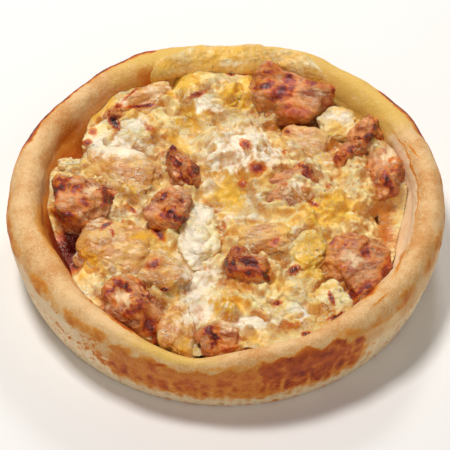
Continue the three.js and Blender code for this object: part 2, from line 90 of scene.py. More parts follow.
WAVES = (  # how steeply each wave runs along x, y and z, and where it starts
    (3.1, 1.7, 0.9, 1.0),
    (-1.9, 3.3, 1.3, 2.3),
    (1.1, -2.1, 3.4, 4.1),
    (2.7, 0.6, -2.9, 0.6),
)


def ripple(x: Number, y: Number, z: Number) -> Number:
    """A smooth, repeatable unevenness between -1 and 1, with hills about two units apart."""
    return sum(np.sin(a * x + b * y + c * z + start) for a, b, c, start in WAVES) / len(WAVES)


def noise_rows(points: np.ndarray, size: Size, offset: float) -> list[list[float]]:
    """Points as rows for the noise functions, in units of the pattern's size."""
    return (points / np.asarray(size, float) + offset).tolist()


FADE = 0.8  # how fast the finer layers of noise grow weaker
FINER = 2.1  # how many times finer each layer is


def crumb(points: np.ndarray, size: Size, octaves: int, offset: float) -> np.ndarray:
    """Fractal unevenness at each point.

    Args:
        points: places, one row each.
        size: size of the broadest unevenness, or one for each axis.
        octaves: how many finer layers it has.
        offset: moves the pattern.

    Returns:
        Values mostly between -0.7 and 0.7.
    """
    rows = noise_rows(points, size, offset)
    return np.array([noise.fractal(row, FADE, FINER, octaves) for row in rows])


def crags(points: np.ndarray, size: Size, octaves: int, offset: float) -> np.ndarray:
    """Sharp ridges with hollows between them, as in torn or crusted food.

    Args:
        points: places, one row each.
        size: distance between ridges, or one for each axis.
        octaves: how many finer layers it has.
        offset: moves the pattern.

    Returns:
        About -0.7 in the hollows and 0.7 on the ridges.
    """
    fade, level, sharpness = 0.9, 1.0, 2.0
    values = [
        noise.ridged_multi_fractal(row, fade, FINER, octaves, level, sharpness)
        for row in noise_rows(points, size, offset)
    ]
    return np.array(values) * 0.55 - 0.7


def flakes(points: np.ndarray, size: Size, offset: float) -> tuple[np.ndarray, np.ndarray]:
    """Overlapping torn flakes, each tilted its own way.

    Args:
        points: places, one row each.
        size: width of a flake, or one for each axis.
        offset: moves the pattern.

    Returns:
        The flakes' height, mostly between -0.6 and 0.6, and the distance from their edges.
    """
    tilt, step, shuffle = 1.3, 0.7, 7.31
    heights, margins = [], []
    for row in noise_rows(points, size, offset):
        distances, middles = noise.voronoi(row)
        lean = noise.cell_vector(middles[0] * shuffle)
        away = Vector(row) - middles[0]
        slope = away.x * (lean.x - 0.5) + away.y * (lean.y - 0.5)
        heights.append(tilt * slope + step * (lean.z - 0.5))
        margins.append(distances[1] - distances[0])
    return np.array(heights), np.array(margins)


def turned(x: Number, y: Number, degrees: float) -> tuple[Number, Number]:
    """Coordinates along and across a direction."""
    c, s = math.cos(math.radians(degrees)), math.sin(math.radians(degrees))
    return x * c + y * s, y * c - x * s


def srgb(red: float, green: float, blue: float) -> Colour:
    """A display colour as the linear colour that shaders take.

    Args:
        red: amount of red, 0 to 255.
        green: amount of green.
        blue: amount of blue.

    Returns:
        The linear colour, opaque.
    """
    channels = [value / 255.0 for value in (red, green, blue)]
    linear = [c / 12.92 if c <= 0.04045 else ((c + 0.055) / 1.055) ** 2.4 for c in channels]
    return (*linear, 1.0)


@dataclass(frozen=True)
class Lobe:
    """A rounded bump (above 0) or dip (below 0) on the way round the tart."""

    height: float
    centre: float  # direction of its top, in degrees
    width: float  # half its width, in degrees

    def at(self, theta: np.ndarray) -> np.ndarray:
        """Its height in directions given in radians."""
        away = (np.degrees(theta) - self.centre + 540.0) % 360.0 - 180.0
        return self.height * np.exp(-((away / self.width) ** 2))


@dataclass(frozen=True)
class Stretch:
    """A stretch of the way round the tart, between two directions in degrees."""

    height: float
    start: float
    stop: float
    soft: float = 4.0  # degrees over which it fades beyond its ends

    def at(self, theta: np.ndarray) -> np.ndarray:
        """Its height in directions round the tart.

        Args:
            theta: the directions, in radians.

        Returns:
            The full height between its ends, fading to 0 beyond them.
        """
        turn = np.degrees(theta)
        begun = smoothstep(turn, self.start - self.soft, self.start)
        ended = smoothstep(turn, self.stop, self.stop + self.soft)
        return self.height * begun * (1 - ended)


def all_round(parts: Sequence[Lobe | Stretch], theta: np.ndarray) -> np.ndarray:
    """The sum of several lobes and stretches in each direction."""
    return sum(part.at(theta) for part in parts)


class Slot(Enum):
    """The record's material slots."""

    CRUST = "crust"
    FILLING = "filling"
    MEAT = "meat"
    ONION = "onion"
    CHEESE = "cheese"


class Layer(Enum):
    """Colour layers painted on the vertices."""

    # browning, and painted shade in gaps, on lower faces of pieces and along the rim's outline
    BROWN = "brown"
    YELLOW = "yellow"
    # pale cream and dough, and painted light on the filling's crests and the inner wall at the
    # right
    CREAM = "cream"
    # golden juice and tints, and painted shade in hollows, on slopes and on lower sides
    GOLD = "gold"


class Surface:
    """A mesh in millimetres whose vertices are moved and painted before it is finished."""

    def __init__(self, name: str, shape: bmesh.types.BMesh) -> None:
        """Takes over a bmesh, which is freed.

        Args:
            name: the piece's name.
            shape: its mesh.
        """
        self.mesh = bpy.data.meshes.new(name)
        self.name = name
        shape.to_mesh(self.mesh)
        shape.free()

    def points(self) -> np.ndarray:
        """The vertices, one row each."""
        return self.rows(self.mesh.vertices, "co")

    def normals(self) -> np.ndarray:
        """The outward direction at each vertex."""
        return self.rows(self.mesh.vertex_normals, "vector")

    @staticmethod
    def rows(source: bpy.types.bpy_prop_collection, name: str) -> np.ndarray:
        """Reads one vector for each vertex.

        Args:
            source: the mesh's vertices or their normals.
            name: the vector's name there.

        Returns:
            The vectors, one row each.
        """
        flat = np.empty(len(source) * 3, np.float32)
        source.foreach_get(name, flat)
        return flat.reshape(-1, 3).astype(float)

    def place(self, points: np.ndarray) -> None:
        """Moves the vertices to new places."""
        self.mesh.vertices.foreach_set("co", points.astype(np.float32).ravel())
        self.mesh.update()

    def raise_by(self, heights: np.ndarray) -> None:
        """Moves the vertices outwards along their normals."""
        self.place(self.points() + self.normals() * heights[:, None])

    def paint(self, layer: Layer, values: np.ndarray) -> None:
        """Stores a colour layer."""
        attribute = self.mesh.attributes.new(layer.value, "FLOAT", "POINT")
        attribute.data.foreach_set("value", np.clip(values, 0.0, 1.5).astype(np.float32))

    def finish(
        self, material: bpy.types.Material, slot: Slot, nodes: Sequence[str]
    ) -> bpy.types.Object:
        """Turns the mesh into a finished piece of the tart.

        Args:
            material: its finish.
            slot: the record's slot that the finish belongs to; not used.
            nodes: solids that it stands for.

        Returns:
            The piece, in metres, riding on the tart.
        """
        self.place((self.points() + ORIGIN_SHIFT) * METRES)
        self.mesh.shade_smooth()
        self.mesh.materials.append(material)
        piece = bpy.data.objects.new(self.name, self.mesh)
        bpy.context.scene.collection.objects.link(piece)
        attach(piece, "root")
        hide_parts(*nodes)
        log.info("%s: %d vertices", self.name, len(self.mesh.vertices))
        return piece


# ---------------------------------------------------------------------------------------------
# Finishes
# ---------------------------------------------------------------------------------------------


class NodeSheet:
    """One material's nodes, with short ways to add them."""

    def __init__(self, name: str) -> None:
        """Makes an empty material with an output.

        Args:
            name: the material's name.
        """
        self.material = bpy.data.materials.new(name)
        self.material.use_nodes = True
        self.tree = self.material.node_tree
        self.tree.nodes.clear()
        self.output = self.tree.nodes.new("ShaderNodeOutputMaterial")
        self.coordinates = self.tree.nodes.new("ShaderNodeTexCoord").outputs["Object"]

    def link(self, value: float | Colour | Socket, socket: Socket) -> None:
        """Sets a socket to a plain value, or joins another socket to it.

        Args:
            value: number, colour or other socket.
            socket: socket that takes it.
        """
        if isinstance(value, bpy.types.NodeSocket):
            self.tree.links.new(value, socket)
        else:
            socket.default_value = value

    def layer(self, layer: Layer) -> Socket:
        """Reads a painted layer.

        Args:
            layer: which one.

        Returns:
            Its value.
        """
        node = self.tree.nodes.new("ShaderNodeAttribute")
        node.attribute_name = layer.value
        return node.outputs["Fac"]

    def stretched(self, stretch: Triple, turn: float) -> Socket:
        """Object coordinates, turned about the vertical and scaled along each axis.

        Args:
            stretch: scale along each axis, so that a pattern is short where it is large.
            turn: in degrees.

        Returns:
            The coordinates.
        """
        node = self.tree.nodes.new("ShaderNodeMapping")
        self.link(self.coordinates, node.inputs["Vector"])
        node.inputs["Rotation"].default_value = (0.0, 0.0, math.radians(turn))
        node.inputs["Scale"].default_value = stretch
        return node.outputs["Vector"]

    def noise(
        self, size: float, detail: float, rough: float = 0.55, distort: float = 0.0,
        vector: Socket | None = None,
    ) -> Socket:
        """Cloudy noise.

        Args:
            size: size of its broadest clouds, in millimetres.
            detail: finer layers.
            rough: strength of the finer layers.
            distort: how much the clouds are swirled.
            vector: other coordinates than the object's own.

        Returns:
            A value about 0.5.
        """
        node = self.tree.nodes.new("ShaderNodeTexNoise")
        self.link(vector or self.coordinates, node.inputs["Vector"])
        node.inputs["Scale"].default_value = 1.0 / (size * METRES)
        node.inputs["Detail"].default_value = detail
        node.inputs["Roughness"].default_value = rough
        node.inputs["Distortion"].default_value = distort
        return node.outputs["Fac"]

    def strings(self, size: float, width: float, vector: Socket) -> Socket:
        """Thin wandering strings.

        Args:
            size: distance between them, in millimetres.
            width: half their width, as a share of the noise that bends them.
            vector: coordinates.

        Returns:
            1 along the middle of each string and 0 between them.
        """
        bent = self.maths("SUBTRACT", self.noise(size, 2.0, 0.5, 1.2, vector), 0.5)
        return self.span(self.maths("ABSOLUTE", bent), width, width * 0.3)

    def specks(self, size: float, reach: float) -> Socket:
        """Small scattered dots.

        Args:
            size: distance between them, in millimetres.
            reach: half their width, as a share of that distance.

        Returns:
            1 in the middle of each dot and 0 away from them.
        """
        node = self.tree.nodes.new("ShaderNodeTexVoronoi")
        self.link(self.coordinates, node.inputs["Vector"])
        node.inputs["Scale"].default_value = 1.0 / (size * METRES)
        return self.span(node.outputs["Distance"], reach, reach * 0.5)

    def span(
        self, value: Socket, low: float, high: float, to_low: float = 0.0, to_high: float = 1.0
    ) -> Socket:
        """Maps low..high smoothly to to_low..to_high, and holds the ends.

        Args:
            value: what is mapped.
            low: value that becomes to_low.
            high: value that becomes to_high.
            to_low: result at low.
            to_high: result at high.

        Returns:
            The mapped value.
        """
        node = self.tree.nodes.new("ShaderNodeMapRange")
        node.interpolation_type = "SMOOTHSTEP"
        self.link(value, node.inputs["Value"])
        ends = {"From Min": low, "From Max": high, "To Min": to_low, "To Max": to_high}
        for name, number in ends.items():
            node.inputs[name].default_value = number
        return node.outputs["Result"]

    def maths(
        self, operation: str, a: float | Socket, b: float | Socket = 0.0, hold: bool = False
    ) -> Socket:
        """One calculation with two values.

        Args:
            operation: the calculation's name.
            a: first value.
            b: second value.
            hold: whether the result is held to 0..1.

        Returns:
            The result.
        """
        node = self.tree.nodes.new("ShaderNodeMath")
        node.operation = operation
        node.use_clamp = hold
        self.link(a, node.inputs[0])
        self.link(b, node.inputs[1])
        return node.outputs["Value"]

    def times(self, a: float | Socket, b: float | Socket, hold: bool = False) -> Socket:
        """The product of two values, held to 0..1 if asked."""
        return self.maths("MULTIPLY", a, b, hold)

    def plus(self, a: float | Socket, b: float | Socket) -> Socket:
        """The sum of two values."""
        return self.maths("ADD", a, b)

    def swing(self, value: Socket, strength: float) -> Socket:
        """A value about 0.5 as one about 0, of a strength."""
        return self.times(self.maths("SUBTRACT", value, 0.5), strength)

    def mix(
        self, share: float | Socket, a: Colour | Socket, b: Colour | Socket, blend: str = "MIX"
    ) -> Socket:
        """A mix of two colours.

        Args:
            share: how much of the second colour there is.
            a: first colour.
            b: second colour.
            blend: how they are mixed.

        Returns:
            The mixed colour.
        """
        node = self.tree.nodes.new("ShaderNodeMix")
        node.data_type = "RGBA"
        node.blend_type = blend
        self.link(share, node.inputs["Factor"])
        self.link(a, node.inputs[6])
        self.link(b, node.inputs[7])
        return node.outputs[2]

    def ramp(self, value: Socket, stops: Sequence[tuple[float, Colour]]) -> Socket:
        """A colour ramp.

        Args:
            value: 0 to 1 along the ramp.
            stops: places and colours along it.

        Returns:
            The colour.
        """
        node = self.tree.nodes.new("ShaderNodeValToRGB")
        self.link(value, node.inputs["Fac"])
        elements = node.color_ramp.elements
        while len(elements) < len(stops):
            elements.new(0.5)
        for element, (place, colour) in zip(elements, stops):
            element.position = place
            element.color = colour
        return node.outputs["Color"]

    def bump(self, height: Socket, depth: float, under: Socket | None = None) -> Socket:
        """Relief of the surface.

        Args:
            height: how high it stands, 0 to 1.
            depth: depth of the relief, in millimetres.
            under: relief that it lies on.

        Returns:
            The surface's direction.
        """
        node = self.tree.nodes.new("ShaderNodeBump")
        node.inputs["Distance"].default_value = depth * METRES
        self.link(height, node.inputs["Height"])
        if under is not None:
            self.link(under, node.inputs["Normal"])
        return node.outputs["Normal"]

    def browned_and_shaded(
        self, base: Socket, amount: Socket, tones: Sequence[tuple[float, Colour]]
    ) -> Socket:
        """A base colour that browns, then chars, as the amount rises from 0 to 1, darkening painted
        shade the same way.
        """
        return self.mix(self.span(amount, 0.04, 0.26), base, self.ramp(amount, tones))

    def shader(
        self, colour: Socket, roughness: float | Socket, normal: Socket, **fixed: float | Triple
    ) -> bpy.types.Material:
        """Ends the sheet in one shader.

        Args:
            colour: surface colour.
            roughness: surface roughness.
            normal: relief.
            **fixed: values set on the shader's own sockets, underscores standing for spaces.

        Returns:
            The finished material.
        """
        node = self.tree.nodes.new("ShaderNodeBsdfPrincipled")
        self.link(colour, node.inputs["Base Color"])
        self.link(roughness, node.inputs["Roughness"])
        self.link(normal, node.inputs["Normal"])
        self.link(normal, node.inputs["Coat Normal"])
        for name, value in fixed.items():
            node.inputs[name.replace("_", " ")].default_value = value
        self.link(node.outputs["BSDF"], self.output.inputs["Surface"])
        return self.material


FOOD_BROWNING = (
    (0.0, srgb(244, 184, 78)),
    (0.2, srgb(232, 142, 40)),
    (0.4, srgb(206, 88, 20)),
    (0.62, srgb(160, 42, 10)),
    (0.86, srgb(118, 24, 6)),
    (1.0, srgb(70, 18, 8)),
)
DOUGH_BROWNING = (
    (0.0, srgb(242, 190, 92)),
    (0.2, srgb(228, 148, 42)),
    (0.42, srgb(198, 92, 16)),
    (0.64, srgb(152, 50, 12)),
    (0.85, srgb(108, 28, 12)),
    (1.0, srgb(64, 22, 16)),
)


@dataclass(frozen=True)
class BakedFinish:
    """Cream, cheese, onion or meat that has browned in the oven."""

    name: str
    slot: Slot
    light: Colour
    deep: Colour
    yellow: Colour
    gold: Colour
    roughness: float
    soft: float  # share of light that enters
    depth: float  # how far it enters, in millimetres
    cream: Colour = srgb(255, 236, 206)
    # painted highlights: the colours of its glinting streaks and bright flecks
    glint: Colour = srgb(255, 246, 226)
    glint_fleck: Colour = srgb(255, 250, 238)
    pepper: Colour = srgb(70, 42, 26)
    clouds: float = 6.0  # size of the mottling
    stretch: Triple = (1.0, 1.0, 1.0)  # fibres: small along them
    turn: float = 0.0
    relief: float = 0.3
    sparkle: float = 1.0  # strength of its painted highlights, glinting streaks and bright flecks
    fine_size: float = 0.9  # sizes of the finer patterns, in millimetres
    grain_size: float = 0.42
    streak_size: float = 0.7
    string_size: float = 3.2
    smooth_size: float = 7.0  # smooth sheets between torn parts
    pepper_size: float = 3.4
    streak_stretch: Triple = (0.4, 1.7, 1.0)
    streak_turn: float = 20.0  # from the fibres, in degrees

    def material(self) -> bpy.types.Material:
        """Builds the material.

        Returns:
            The material, which reads the layers painted on a piece.
        """
        sheet = NodeSheet(self.name)
        fibres = sheet.stretched(self.stretch, self.turn)
        along = sheet.stretched(self.streak_stretch, self.turn + self.streak_turn)
        clouds = sheet.noise(self.clouds, 5.0, 0.62, 0.6, fibres)
        fine = sheet.noise(self.fine_size, 4.0, 0.65, 0.3, fibres)
        grain = sheet.noise(self.grain_size, 2.0, 0.6)
        streaks = sheet.noise(self.streak_size, 3.0, 0.65, 0.4, along)
        torn = sheet.span(sheet.noise(self.smooth_size, 2.0, 0.5), 0.44, 0.58, 0.3, 1.0)
        torn = sheet.times(torn, sheet.span(sheet.layer(Layer.CREAM), 0.3, 1.0, 1.0, 0.4))
        strings = sheet.times(sheet.strings(self.string_size, 0.035, fibres), torn)
        ragged = sheet.swing(fine, 1.1)

        def painted(layer: Layer, low: float, high: float) -> Socket:
            """A layer's share, with ragged edges."""
            return sheet.span(sheet.plus(sheet.layer(layer), ragged), low, high)

        colour = sheet.mix(sheet.span(clouds, 0.4, 0.58), self.deep, self.light)
        tints = (
            (sheet.times(sheet.span(streaks, 0.46, 0.34, 0.0, 0.24), torn), self.gold),
            (sheet.times(sheet.span(fine, 0.5, 0.66, 0.0, 0.6), torn), self.cream),
            (sheet.times(strings, 0.55), self.cream),
            (painted(Layer.YELLOW, 0.1, 0.75), self.yellow),
            (painted(Layer.CREAM, 0.2, 0.8), self.cream),
            (painted(Layer.GOLD, 0.15, 0.9), self.gold),
        )
        for share, tint in tints:
            colour = sheet.mix(share, colour, tint)
        brown = sheet.layer(Layer.BROWN)
        toast = sheet.plus(brown, sheet.times(ragged, 0.6))
        toast = sheet.times(toast, sheet.span(brown, 0.02, 0.2), True)
        colour = sheet.browned_and_shaded(colour, toast, FOOD_BROWNING)
        # painted highlights: pale glinting streaks on the torn parts, fainter where browned
        shine = sheet.times(sheet.span(streaks, 0.58, 0.68, 0.0, 0.4 * self.sparkle), torn)
        shine = sheet.times(shine, sheet.span(toast, 0.6, 0.2, 0.25, 1.0))
        colour = sheet.mix(shine, colour, self.glint)
        pepper = sheet.times(sheet.specks(self.pepper_size, 0.085), 0.8)
        colour = sheet.mix(pepper, colour, self.pepper)
        # painted highlights: small bright flecks screened over the colour
        glint_flecks = sheet.times(sheet.span(grain, 0.55, 0.65, 0.0, 0.6 * self.sparkle), torn)
        colour = sheet.mix(glint_flecks, colour, self.glint_fleck, "SCREEN")
        normal = sheet.bump(sheet.times(fine, torn), self.relief * 1.4)
        normal = sheet.bump(strings, 0.16, normal)
        normal = sheet.bump(sheet.times(streaks, torn), self.relief, normal)
        normal = sheet.bump(grain, self.relief * 0.55, normal)
        roughness = sheet.span(clouds, 0.3, 0.7, self.roughness * 0.6, self.roughness * 1.3)
        return sheet.shader(
            colour, roughness, normal, Subsurface_Weight=self.soft,
            Subsurface_Radius=(1.0, 0.62, 0.28), Subsurface_Scale=self.depth * METRES,
            IOR=1.42, Coat_Weight=0.55, Coat_Roughness=0.06,
        )


@dataclass(frozen=True)
class DoughFinish:
    """Baked dough, floury and mottled on top and browned below the shoulder."""

    name: str = "baked_dough"
    slot: Slot = Slot.CRUST
    flour: Colour = srgb(238, 198, 142)
    tan: Colour = srgb(216, 154, 86)
    # pale dough, also the colour of painted light on the inner wall at the right
    pale: Colour = srgb(252, 226, 186)
    yellow: Colour = srgb(230, 188, 92)
    # juice stains, and painted shade in the hollows inside
    juice_and_shade: Colour = srgb(212, 120, 14)
    dust: Colour = srgb(252, 228, 186)
    broad_size: float = 9.0  # sizes of the patterns, in millimetres
    mottle_size: float = 1.2
    grain_size: float = 0.5

    def material(self) -> bpy.types.Material:
        """Builds the material.

        Returns:
            The material, which reads the layers painted on the case.
        """
        sheet = NodeSheet(self.name)
        broad = sheet.noise(self.broad_size, 4.0, 0.6, 0.4)
        mottle = sheet.noise(self.mottle_size, 4.0, 0.7, 0.2)
        grain = sheet.noise(self.grain_size, 2.0, 0.6)
        tone = sheet.plus(sheet.times(broad, 0.6), sheet.times(mottle, 0.2))
        tone = sheet.plus(tone, sheet.times(grain, 0.2))
        colour = sheet.mix(sheet.span(tone, 0.38, 0.6), self.tan, self.flour)
        ragged = sheet.swing(mottle, 0.8)
        tints = {Layer.CREAM: self.pale, Layer.YELLOW: self.yellow, Layer.GOLD: self.juice_and_shade}
        for layer, tint in tints.items():
            value = sheet.plus(sheet.layer(layer), ragged)
            colour = sheet.mix(sheet.span(value, 0.15, 0.9), colour, tint)
        brown = sheet.layer(Layer.BROWN)
        toast = sheet.plus(brown, sheet.times(ragged, 0.18))
        toast = sheet.times(toast, sheet.span(brown, 0.02, 0.15), True)
        colour = sheet.browned_and_shaded(colour, toast, DOUGH_BROWNING)
        dust = sheet.times(sheet.span(grain, 0.54, 0.68), sheet.span(toast, 0.5, 0.2))
        colour = sheet.mix(sheet.times(dust, 0.24), colour, self.dust)
        normal = sheet.bump(mottle, 0.22)
        normal = sheet.bump(grain, 0.14, normal)
        roughness = sheet.span(mottle, 0.3, 0.7, 0.5, 0.72)
        return sheet.shader(
            colour, roughness, normal, Subsurface_Weight=0.12,
            Subsurface_Radius=(1.0, 0.6, 0.3), Subsurface_Scale=1.2 * METRES, IOR=1.4,
        )


@dataclass(frozen=True)
class PhotoView:
    """The photograph's view of the tart: the camera repeats it, and spots are placed through it."""

    elevation: float = 47.097  # degrees above the floor
    distance: float = 472.0  # from the camera to its aim, in millimetres
    focal: float = 1733.6  # in pixels, as are the next three
    frame: float = 450.0
    aim_right: float = -1.2
    aim_up: float = -12.96
    aim_height: float = 12.15  # in millimetres

    def axes(self) -> tuple[Vector, Vector, Vector]:
        """The camera's own directions.

        Returns:
            The directions to its right, up and from the tart towards it.
        """
        tilt = math.radians(self.elevation)
        away = Vector((0.0, -math.cos(tilt), math.sin(tilt)))
        right = Vector((1.0, 0.0, 0.0))
        return right, away.cross(right), away

    def eye(self) -> Vector:
        """Where the camera stands.

        Returns:
            The place, in millimetres.
        """
        right, up, away = self.axes()
        pixel = self.distance / self.focal
        aim = Vector((0.0, 0.0, self.aim_height))
        return aim + (right * self.aim_right + up * self.aim_up) * pixel + away * self.distance

    def pixels(self, points: np.ndarray) -> np.ndarray:
        """Where points of the tart are seen.

        Args:
            points: places on the tart, one row each.

        Returns:
            How far across and down the frame each is, in pixels.
        """
        right, up, away = (np.array(axis) for axis in self.axes())
        seen = points + ORIGIN_SHIFT - np.array(self.eye())
        scale = self.focal / -(seen @ away)
        middle = self.frame / 2
        return np.stack([middle + scale * (seen @ right), middle - scale * (seen @ up)], -1)

    def facing(self, points: np.ndarray, normals: np.ndarray) -> np.ndarray:
        """How squarely surfaces are seen.

        Args:
            points: places on the tart, one row each.
            normals: the surface's outward direction at each.

        Returns:
            1 face on, 0 edge on and below 0 from behind.
        """
        towards = np.array(self.eye()) - points - ORIGIN_SHIFT
        return (normals * towards).sum(1) / np.linalg.norm(towards, axis=1)


VIEW = PhotoView()


@dataclass(frozen=True)
class Spot:
    """A patch of colour, where it is seen in the photograph."""

    across: float  # pixels from the left
    down: float  # pixels from the top
    reach: float  # half its height, in pixels
    strength: float = 1.0
    long: float = 1.0  # times as wide as high
    turn: float = 0.0  # counterclockwise, in degrees

    def at(self, seen: np.ndarray) -> np.ndarray:
        """Its strength at places in the photograph.

        Args:
            seen: pixels across and down, one row each.

        Returns:
            One value for each place.
        """
        along, beside = turned(seen[:, 0] - self.across, self.down - seen[:, 1], self.turn)
        away = (along / self.long) ** 2 + beside**2
        return self.strength * np.exp(-away / self.reach**2)


Spots = dict[str, Spot]


class Paintbox:
    """Works out how strongly spots colour the points of one surface."""

    wander_size = 2.6  # size of the bays in a spot's outline
    scorch = 1.2  # browning in the middle of a full spot
    halo = 0.5  # strength of the gold round a browned spot

    def __init__(self, points: np.ndarray) -> None:
        """Works out how the outlines of spots wander there.

        Args:
            points: the surface's points, one row each.
        """
        self.points = points
        x, y = (crumb(points, self.wander_size, 3, offset) for offset in (4.0, 9.0))
        self.wander = np.stack([x, y, np.zeros(len(points))], -1)

    def share(self, spots: Spots, ragged: float) -> np.ndarray:
        """The strongest spot's share at each point.

        Args:
            spots: the patches, by name.
            ragged: how far their outlines wander, in millimetres.

        Returns:
            One value for each point.
        """
        seen = VIEW.pixels(self.points + ragged * self.wander)
        total = np.zeros(len(seen))
        for spot in spots.values():
            total = np.maximum(total, spot.at(seen))
        return total

    def paint_top(
        self, surface: Surface, own: dict[Layer, Number], gold: float, level: np.ndarray
    ) -> None:
        """Paints the colours that the whole top shares, together with a piece's own.

        Args:
            surface: the piece's surface.
            own: the piece's own share of each layer.
            gold: strength of the golden patches on it.
            level: how much of a cream patch holds at each point, less where it is steep.
        """
        scorched = self.share(BROWNED_CHEESE, 0.5)
        golden = gold * self.share(GOLD_PATCHES, 1.5) + self.halo * np.sqrt(scorched)
        creamy = level * self.share(CREAM_PATCHES, 2.0)
        surface.paint(Layer.BROWN, own[Layer.BROWN] + self.scorch * scorched)
        surface.paint(Layer.GOLD, own[Layer.GOLD] + golden)
        surface.paint(Layer.YELLOW, own[Layer.YELLOW] + self.share(YELLOW_PATCHES, 2.0))
        surface.paint(Layer.CREAM, np.maximum(own[Layer.CREAM], creamy))


YELLOW_PATCHES: Spots = {
    "back left cheese": Spot(184, 78, 12, 1.1, 1.3),
    "back left cheese, low": Spot(172, 90, 6, 0.8),
    "band behind the mound": Spot(196, 112, 6, 1.0, 3.6, -12),
    "band, lower": Spot(186, 124, 4, 0.9, 3.0, -3),
    "by the large meat": Spot(238, 98, 13, 1.1),
    "under the dark streaks": Spot(250, 80, 5, 0.7, 2.6),
    "left of the mound": Spot(172, 140, 6, 0.8, 1.4, -35),
    "behind the mound": Spot(238, 130, 4, 0.7, 2.6, 10),
    "mound, front left": Spot(226, 178, 10, 0.7, 1.8, -35),
    "mound, back right": Spot(284, 146, 6, 0.5, 2.4, -25),
    "before the mound": Spot(230, 196, 9, 1.1, 2.0, -25),
    "right sheet": Spot(330, 208, 14, 1.3, 1.6),
    "right sheet, front": Spot(314, 222, 7, 0.9, 1.8),
    "yellow lump": Spot(314, 254, 16, 1.5, 1.4, -80),
    "behind the middle slice": Spot(286, 230, 5, 0.7, 2.6),
    "front cheese": Spot(226, 305, 8, 1.1, 2.0),
    "front cheese, low": Spot(232, 322, 6, 0.8, 1.8, 10),
    "left slice, front": Spot(128, 190, 8, 0.8, 1.4),
    "round slice, left edge": Spot(88, 262, 6, 0.8, 2.6, 80),
    "round slice, back edge": Spot(142, 236, 4, 1.0, 3.2, -4),
    "behind the tips": Spot(180, 148, 7, 0.7, 1.6, -30),
    "wedge": Spot(184, 348, 8, 0.6),
    "small slice, front": Spot(174, 292, 8, 0.7, 1.6, -35),
    "back left corner": Spot(98, 108, 7, 0.8, 2.0, 40),
}
CREAM_PATCHES: Spots = {
    "creamy sheet": Spot(118, 146, 12, 1.1, 3.4, -3),
    "creamy sheet, back": Spot(137, 122, 8, 0.9, 1.8, 20),
    "flap at the back": Spot(205, 105, 9, 1.1, 2.4, -12),
    "mound": Spot(234, 152, 24, 1.25, 1.35, 30),
    "mound, back": Spot(258, 136, 6, 1.0, 2.6, -8),
    "mound, right": Spot(268, 154, 14, 1.05, 1.3),
    "middle lump": Spot(202, 214, 12, 1.1, 1.3),
    "pool, back": Spot(192, 245, 16, 1.2, 1.4, 75),
    "pool": Spot(197, 280, 17, 1.3, 1.6, 70),
    "pool, front": Spot(200, 310, 14, 1.2, 1.5, 30),
    "front cheese": Spot(250, 322, 11, 0.9, 3.2, 5),
    "front cheese, right": Spot(300, 312, 9, 0.9, 1.5, -20),
    "pale piece": Spot(294, 190, 13, 0.85, 1.4),
    "behind the pale piece": Spot(252, 197, 7, 1.0, 1.2, 30),
    "before the pale piece": Spot(256, 219, 6, 0.8, 2.0, -20),
    "right flap": Spot(340, 118, 7, 0.9, 2.4, -8),
    "right flap, front": Spot(330, 162, 6, 0.8, 1.5),
    "between the tips": Spot(176, 184, 3.5, 1.0, 3.0, -65),
    "right meat": Spot(390, 154, 8, 1.0, 1.8, 20),
    "right meat, front": Spot(384, 176, 6, 1.0, 1.8, 70),
    "large meat, right end": Spot(322, 92, 6, 0.8, 1.8, -30),
    "front left meat": Spot(128, 302, 6, 1.1, 2.2, -50),
    "right front meat": Spot(354, 258, 7, 0.9, 2.0, -20),
    "left meat": Spot(92, 190, 5, 1.0, 1.8, 10),
    "left meat, front": Spot(84, 216, 4, 0.8, 2.4, -15),
}
GOLD_PATCHES: Spots = {
    "left slice": Spot(110, 167, 6, 0.9, 3.0, -22),
    "left slice, right edge": Spot(148, 180, 3, 0.9, 5.0, 80),
    "before the left slice": Spot(130, 208, 6, 0.8, 1.6),
    "left, before the meat": Spot(128, 225, 5, 0.6, 2.0),
    "back left flap": Spot(141, 97, 5, 1.0, 2.2, 4),
    "left of the tips": Spot(164, 153, 4, 0.9, 3.0, 52),
    "round slice": Spot(120, 268, 5, 0.6, 2.6, -32),
    "small slice": Spot(160, 275, 9, 0.9, 1.5, -25),
    "front meat": Spot(228, 350, 11, 0.9, 1.6, -8),
    "middle slice": Spot(272, 242, 8, 0.9, 2.2),
    "before the middle meat": Spot(232, 286, 5, 0.8, 2.6, -8),
    # painted shade under the large meat's overhang
    "beside the pool": Spot(222, 230, 2.4, 0.8, 6.0, 88),
    "right of the large meat": Spot(346, 104, 6, 1.0, 2.4, -14),
    "under the large meat": Spot(282, 128, 5, 1.1, 6.0, -5),
    "right hollow": Spot(382, 212, 8, 1.0, 2.0, 20),
    "hole behind the right meat": Spot(330, 148, 4, 1.1, 1.5, -10),
    "yellow lump, edge": Spot(324, 262, 2.4, 0.8, 5.0, 62),
    "corner": Spot(328, 308, 6, 0.8, 1.4, 30),
    "front, right": Spot(292, 324, 4, 0.6, 3.0, 5),
}
